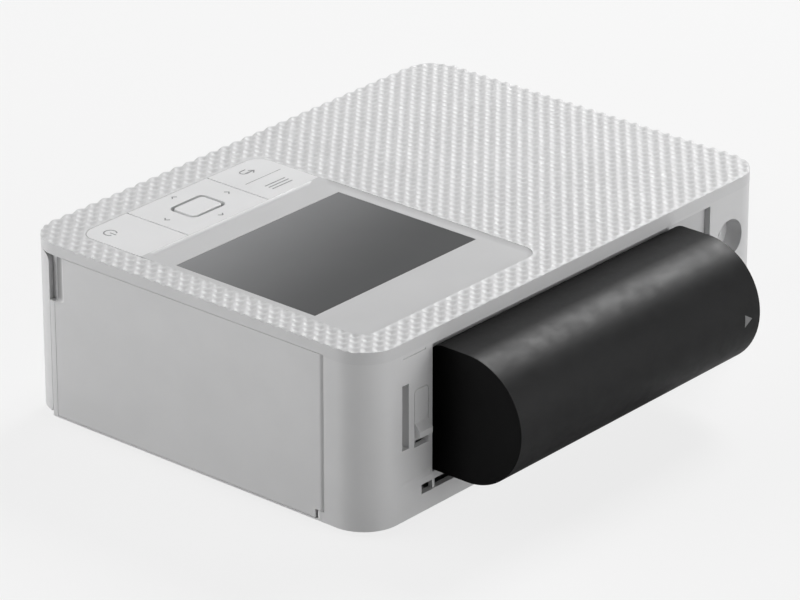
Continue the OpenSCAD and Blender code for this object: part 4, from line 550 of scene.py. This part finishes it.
def reliefGroup():
    tree = bpy.data.node_groups.new("lidRelief", "GeometryNodeTree")
    face = tree.interface
    face.new_socket("Geometry", in_out="INPUT", socket_type="NodeSocketGeometry")
    for label in ("Pitch X", "Pitch Y", "Depth", "Hollow", "Top", "Phase X", "Phase Y", "Edge Drop", "Key Rim Drop"):
        face.new_socket(label, in_out="INPUT", socket_type="NodeSocketFloat")
    face.new_socket("Material", in_out="INPUT", socket_type="NodeSocketMaterial")
    face.new_socket("Geometry", in_out="OUTPUT", socket_type="NodeSocketGeometry")
    start = addNode(tree, "NodeGroupInput")
    end = addNode(tree, "NodeGroupOutput")
    place = addNode(tree, "ShaderNodeSeparateXYZ")
    linkNodes(tree, addNode(tree, "GeometryNodeInputPosition").outputs[0], place.inputs[0])

    def calc(operation, *operands):
        return mathNode(tree, operation, *operands)

    across = calc("DIVIDE", calc("ADD", place.outputs["X"], start.outputs["Phase X"]), start.outputs["Pitch X"])
    along = calc("DIVIDE", calc("ADD", place.outputs["Y"], start.outputs["Phase Y"]), start.outputs["Pitch Y"])
    waves = []
    for operation in ("ADD", "SUBTRACT"):
        turn = calc("MULTIPLY", calc(operation, across, along), 2*math.pi)
        waves.append(calc("MULTIPLY_ADD", calc("COSINE", turn), -0.5, 0.5))
    dimple = calc("POWER", calc("MULTIPLY", *waves), start.outputs["Hollow"])
    drop = calc("MULTIPLY", calc("MULTIPLY", dimple, -1.0), start.outputs["Depth"])
    onTop = calc("GREATER_THAN", place.outputs["Z"], calc("SUBTRACT", start.outputs["Top"], lid["topSkin"]))
    edge = namedShare(tree, "edge")
    eased = calc("MULTIPLY", calc("MULTIPLY", drop, namedShare(tree, "ease")), edge)
    atEdge = calc("MULTIPLY", calc("SUBTRACT", edge, 1.0), start.outputs["Edge Drop"])
    atKeys = calc("MULTIPLY", calc("MULTIPLY", namedShare(tree, "keyRim"), -1.0), start.outputs["Key Rim Drop"])
    total = calc("ADD", calc("ADD", eased, atEdge), atKeys)
    offset = addNode(tree, "ShaderNodeCombineXYZ")
    linkNodes(tree, calc("MULTIPLY", total, onTop), offset.inputs["Z"])
    shift = addNode(tree, "GeometryNodeSetPosition")
    linkNodes(tree, start.outputs["Geometry"], shift.inputs["Geometry"])
    linkNodes(tree, offset.outputs[0], shift.inputs["Offset"])
    whole = addNode(tree, "GeometryNodeRealizeInstances")
    linkNodes(tree, shift.outputs["Geometry"], whole.inputs["Geometry"])
    dress = addNode(tree, "GeometryNodeSetMaterial")
    linkNodes(tree, whole.outputs["Geometry"], dress.inputs["Geometry"])
    linkNodes(tree, start.outputs["Material"], dress.inputs["Material"])
    linkNodes(tree, dress.outputs["Geometry"], end.inputs[0])
    return tree


def setInputs(modifier, values):
    for item in modifier.node_group.interface.items_tree:
        if item.item_type == "SOCKET" and item.in_out == "INPUT" and item.name in values:
            modifier[item.identifier] = values[item.name]


def closeSeam(bm):
    low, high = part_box("top_cover")
    skirtZ = min(v.co.z for v in bm.verts if v.co.x > high.x - lid["touch"])
    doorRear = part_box("ink_door")[1].y
    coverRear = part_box("front_cover")[1].y
    for y in (doorRear, doorRear + lid["seamStep"], coverRear - lid["seamStep"], coverRear):
        whole = bm.verts[:] + bm.edges[:] + bm.faces[:]
        bmesh.ops.bisect_plane(bm, geom=whole, plane_co=(0, y, 0), plane_no=(0, 1, 0))
    radius = lid["cornerR"]
    for v in bm.verts:
        beside = v.co.y > doorRear + lid["seamStep"]/2 or (v.co.x < 0 and v.co.y > coverRear - lid["seamStep"]/2)
        if beside and abs(v.co.z - skirtZ) < lid["touch"]:
            if edgeDistance(v.co, low, high, radius) > -lid["touch"]:
                inside = Vector((min(max(v.co.x, low.x + radius), high.x - radius),
                                 min(max(v.co.y, low.y + radius), high.y - radius), v.co.z))
                v.co += (v.co - inside).normalized()*lid["seamOut"]
            v.co.z -= lid["seamLap"]


def buildLid():
    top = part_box("top_cover")[1].z
    obj = addObject("lidTop", lidTopMesh())
    relief = obj.modifiers.new("relief", "NODES")
    relief.node_group = reliefGroup()
    setInputs(relief, {
        "Pitch X": lid["pitchX"], "Pitch Y": lid["pitchY"], "Depth": lid["depth"], "Hollow": lid["hollow"], "Top": top,
        "Phase X": lid["phaseX"], "Phase Y": lid["phaseY"], "Edge Drop": lid["edgeDrop"],
        "Key Rim Drop": lid["keyRimDrop"], "Material": finish["lid_shell"]})
    bakeModifiers(obj)
    shadeSmooth(obj.data, lid["smoothAngle"])
    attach(obj, "housing")
    bm = mergedCopy("top_cover")
    for v in bm.verts:
        if v.co.z > top - lid["touch"]:
            v.co.z -= lid["rimDrop"]
    closeSeam(bm)
    shell = addPiece("lidShell", meshOf(bm, "lidShell"), "lid_shell", "housing")
    shadeSmooth(shell.data)
    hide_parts("top_cover")
    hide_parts("top_cover")


buildLid()
print("stage: lid")

# Thin raised marks on the keys. Places and line widths in millimetres from the middle of the printer's body, which lies
# fromBack before its back. Height and sink in metres, angles in degrees. Each arrow has its place and its turn, and
# cornerLimit keeps sharp corners short.
marks = dict(fromBack=66.5, lineWidth=0.42, height=0.00004, sink=0.00012, cornerLimit=0.5,
             power=(74.4, -47.5), powerR=1.9, powerSpan=(125, 415), powerSteps=32, stem=1.25,
             arrow=1.0, arrows=((43.35, -32.1, 0), (43.35, -51.4, 180), (30.1, -41.8, 90), (56.6, -41.8, 270)),
             barX=(10.6, 19.4), barY=(-33.5, -35.0, -36.5),
             backStart=(12.6, -47.3), backBend=16.0, backEnd=14.0, backR=1.1, backSteps=12,
             backHead=((13.9, -46.1), (12.5, -47.3), (13.9, -48.5)),
             dividerX=(6.7, 22.2), dividerY=-41.8, dividerWidth=0.22)
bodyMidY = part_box("main_case")[1].y*1000 - marks["fromBack"]


def stripOutline(points, width):
    left, right = [], []
    for i, p in enumerate(points):
        before = points[i - 1] if i else None
        after = points[i + 1] if i < len(points) - 1 else None
        along = Vector((0.0, 0.0))
        if before is not None:
            along += (p - before).normalized()
        if after is not None:
            along += (after - p).normalized()
        along.normalize()
        side = Vector((-along.y, along.x))
        reach = width/2
        if before is not None and after is not None:
            across = Vector((-(after - p).y, (after - p).x)).normalized()
            reach /= max(marks["cornerLimit"], side.dot(across))
        left.append(p + side*reach)
        right.append(p - side*reach)
    return left, right


def raisedStrip(bm, points, width, toPlace):
    left, right = stripOutline([Vector(p) for p in points], width)
    height, sink = marks["height"], marks["sink"]
    rows = []
    for a, b in zip(left, right):
        rows.append([bm.verts.new(toPlace(p, h)) for p, h in ((a, -sink), (a, height), (b, height), (b, -sink))])
    for one, two in zip(rows, rows[1:]):
        for k in range(3):
            bm.faces.new((one[k], one[k + 1], two[k + 1], two[k]))
    bm.faces.new(rows[0])
    bm.faces.new(list(reversed(rows[-1])))


def arc(cx, cy, radius, start, stop, steps):
    angles = [math.radians(start + (stop - start)*i/steps) for i in range(steps + 1)]
    return [(cx + radius*math.cos(a), cy + radius*math.sin(a)) for a in angles]


def addMark(name, strokes, node, width=marks["lineWidth"]):
    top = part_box(node)[1].z
    bm = bmesh.new()
    for points in strokes:
        raisedStrip(bm, points, width, lambda p, h: (p.x/1000, (p.y + bodyMidY)/1000, top + h))
    bmesh.ops.recalc_face_normals(bm, faces=bm.faces)
    addPiece(name, meshOf(bm, name), "case_inner", bodyOf[node])


def arrowStroke(cx, cy, turn):
    a, arm = math.radians(turn), marks["arrow"]
    corners = [(-arm, -arm/2), (0.0, arm/2), (arm, -arm/2)]
    return [(cx + x*math.cos(a) - y*math.sin(a), cy + x*math.sin(a) + y*math.cos(a)) for x, y in corners]


def buildMarks():
    powerX, powerY = marks["power"]
    ring = arc(powerX, powerY, marks["powerR"], *marks["powerSpan"], marks["powerSteps"])
    stem = [(powerX, powerY), (powerX, powerY + marks["stem"]*marks["powerR"])]
    addMark("powerMark", [ring, stem], "power_key")
    addMark("arrowMarks", [arrowStroke(*row) for row in marks["arrows"]], "nav_plate")
    addMark("menuMark", [[(x, y) for x in marks["barX"]] for y in marks["barY"]], "menu_back_key")
    bend, radius = marks["backBend"], marks["backR"]
    y = marks["backStart"][1]
    turn = arc(bend, y - radius, radius, 90, -90, marks["backSteps"])
    hook = [marks["backStart"], (bend, y)] + turn + [(marks["backEnd"], y - 2*radius)]
    addMark("backMark", [hook, marks["backHead"]], "menu_back_key")
    divider = [(x, marks["dividerY"]) for x in marks["dividerX"]]
    addMark("dividerMark", [divider], "menu_back_key", marks["dividerWidth"])


# The small arrow head on the battery: its tip and its base in X and half its height in millimetres, lift and weld in
# metres.
batteryArrow = dict(tipX=-42.7, baseX=-39.4, halfHeight=2.0, lift=0.00005, steps=8, weld=1e-6)


def buildBatteryMark():
    low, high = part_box("battery_shell")
    radius = (high.z - low.z)/2
    midZ, midY = (high.z + low.z)/2, high.y - radius
    reach = radius + batteryArrow["lift"]

    def onShell(x, y):
        angle = y/(radius*1000)
        return x/1000, midY + reach*math.cos(angle), midZ + reach*math.sin(angle)

    bm = bmesh.new()
    steps = batteryArrow["steps"]
    middle = steps//2
    rows = []
    for i in range(steps + 1):
        share = i/steps
        x = batteryArrow["tipX"] + (batteryArrow["baseX"] - batteryArrow["tipX"])*share
        half = batteryArrow["halfHeight"]*share
        rows.append([bm.verts.new(onShell(x, k*half/middle)) for k in range(-middle, middle + 1)])
    for one, two in zip(rows, rows[1:]):
        for k in range(steps):
            bm.faces.new((one[k], one[k + 1], two[k + 1], two[k]))
    bmesh.ops.remove_doubles(bm, verts=bm.verts, dist=batteryArrow["weld"])
    bmesh.ops.recalc_face_normals(bm, faces=bm.faces)
    addPiece("batteryMark", meshOf(bm, "batteryMark"), "module_metal", "battery_pack", "mark_grey")


buildMarks()
buildBatteryMark()
print("stage: marks")

# The camera is where the photograph was taken from. Place in metres, angles in degrees, lens in millimetres.
view = dict(place=(1.008605, 0.851859, 0.630486), pitch=24.49, yaw=40.72, lens=220.34, sensor=36.0, near=0.05)
# Soft lamps: place and width in metres, power in watts. All look at the middle of the printer.
lights = {
    "keyLight": ((-0.9, -0.12, 0.9), 0.5, 12.9),
    "sideLight": ((0.77, -0.88, 0.46), 1.1, 13.4),
    "backLight": ((-0.36, 1.6, 0.5), 1.5, 20.0),
    "rightLight": ((1.1, 1.0, 0.30), 0.6, 0.45),
}
# The floor lies just under the feet. Seen directly it is mostly plain light, by the share floorShown, and the room is
# plain light too, of the strength shown. What falls from the room onto the printer is dim on one side, bright opposite.
studio = dict(aim=(0, 0, 0.03), floorHalf=4, floorZ=-0.0001, floorColor=0.55, floorRough=0.9, floorShown=0.8,
              dimToward=(0.76, 0.65, 0.0), brightFrom=-0.6, dimFrom=0.38, bright=0.50, dim=0.02, shown=0.88)


def addCamera():
    data = bpy.data.cameras.new("camera")
    data.sensor_width = view["sensor"]
    data.lens = view["lens"]
    data.clip_start = view["near"]
    obj = addObject("camera", data)
    pitch, yaw = math.radians(view["pitch"]), math.radians(view["yaw"])
    forward = Vector((-math.cos(yaw)*math.cos(pitch), -math.sin(yaw)*math.cos(pitch), -math.sin(pitch)))
    obj.location = view["place"]
    obj.rotation_euler = forward.to_track_quat("-Z", "Y").to_euler()
    bpy.context.scene.camera = obj


def addLight(name, place, size, power):
    data = bpy.data.lights.new(name, "AREA")
    data.size = size
    data.energy = power
    obj = addObject(name, data)
    obj.location = place
    obj.rotation_euler = (Vector(studio["aim"]) - Vector(place)).to_track_quat("-Z", "Y").to_euler()


def mixShaders(tree, share, one, two, output):
    mix = addNode(tree, "ShaderNodeMixShader")
    linkNodes(tree, share, mix.inputs[0])
    linkNodes(tree, one.outputs[0], mix.inputs[1])
    linkNodes(tree, two.outputs[0], mix.inputs[2])
    linkNodes(tree, mix.outputs[0], tree.nodes[output].inputs["Surface"])


def addFloor():
    half, z = studio["floorHalf"], studio["floorZ"]
    mesh = plainMesh("floor", [(-half, -half, z), (half, -half, z), (half, half, z), (-half, half, z)], [(0, 1, 2, 3)])
    floor = addObject("floor", mesh)
    mat = bpy.data.materials.new("floorPale")
    mat.use_nodes = True
    tree = mat.node_tree
    shader = tree.nodes["Principled BSDF"]
    shader.inputs["Base Color"].default_value = (studio["floorColor"],)*3 + (1.0,)
    shader.inputs["Roughness"].default_value = studio["floorRough"]
    backdrop = addNode(tree, "ShaderNodeEmission")
    backdrop.inputs["Strength"].default_value = 1.0
    fromCamera = addNode(tree, "ShaderNodeLightPath").outputs["Is Camera Ray"]
    shown = mathNode(tree, "MULTIPLY", fromCamera, studio["floorShown"])
    mixShaders(tree, shown, shader, backdrop, "Material Output")
    mesh.materials.append(mat)


def addRoom():
    world = bpy.data.worlds.new("studio")
    bpy.context.scene.world = world
    world.use_nodes = True
    tree = world.node_tree
    soft = tree.nodes["Background"]
    turn = addNode(tree, "ShaderNodeVectorMath", operation="DOT_PRODUCT")
    linkNodes(tree, addNode(tree, "ShaderNodeTexCoord").outputs["Generated"], turn.inputs[0])
    turn.inputs[1].default_value = studio["dimToward"]
    start, end = studio["brightFrom"], studio["dimFrom"]
    strength = mapRange(tree, turn.outputs["Value"], start, end, studio["bright"], studio["dim"])
    linkNodes(tree, strength, soft.inputs["Strength"])
    shown = addNode(tree, "ShaderNodeBackground")
    shown.inputs["Strength"].default_value = studio["shown"]
    path = addNode(tree, "ShaderNodeLightPath")
    seen = mathNode(tree, "MAXIMUM", path.outputs["Is Camera Ray"], path.outputs["Is Transmission Ray"])
    mixShaders(tree, seen, soft, shown, "World Output")


addCamera()
for name, (place, size, power) in lights.items():
    addLight(name, place, size, power)
addFloor()
addRoom()
bpy.context.scene.view_settings.view_transform = "Standard"
print("stage: camera and light")
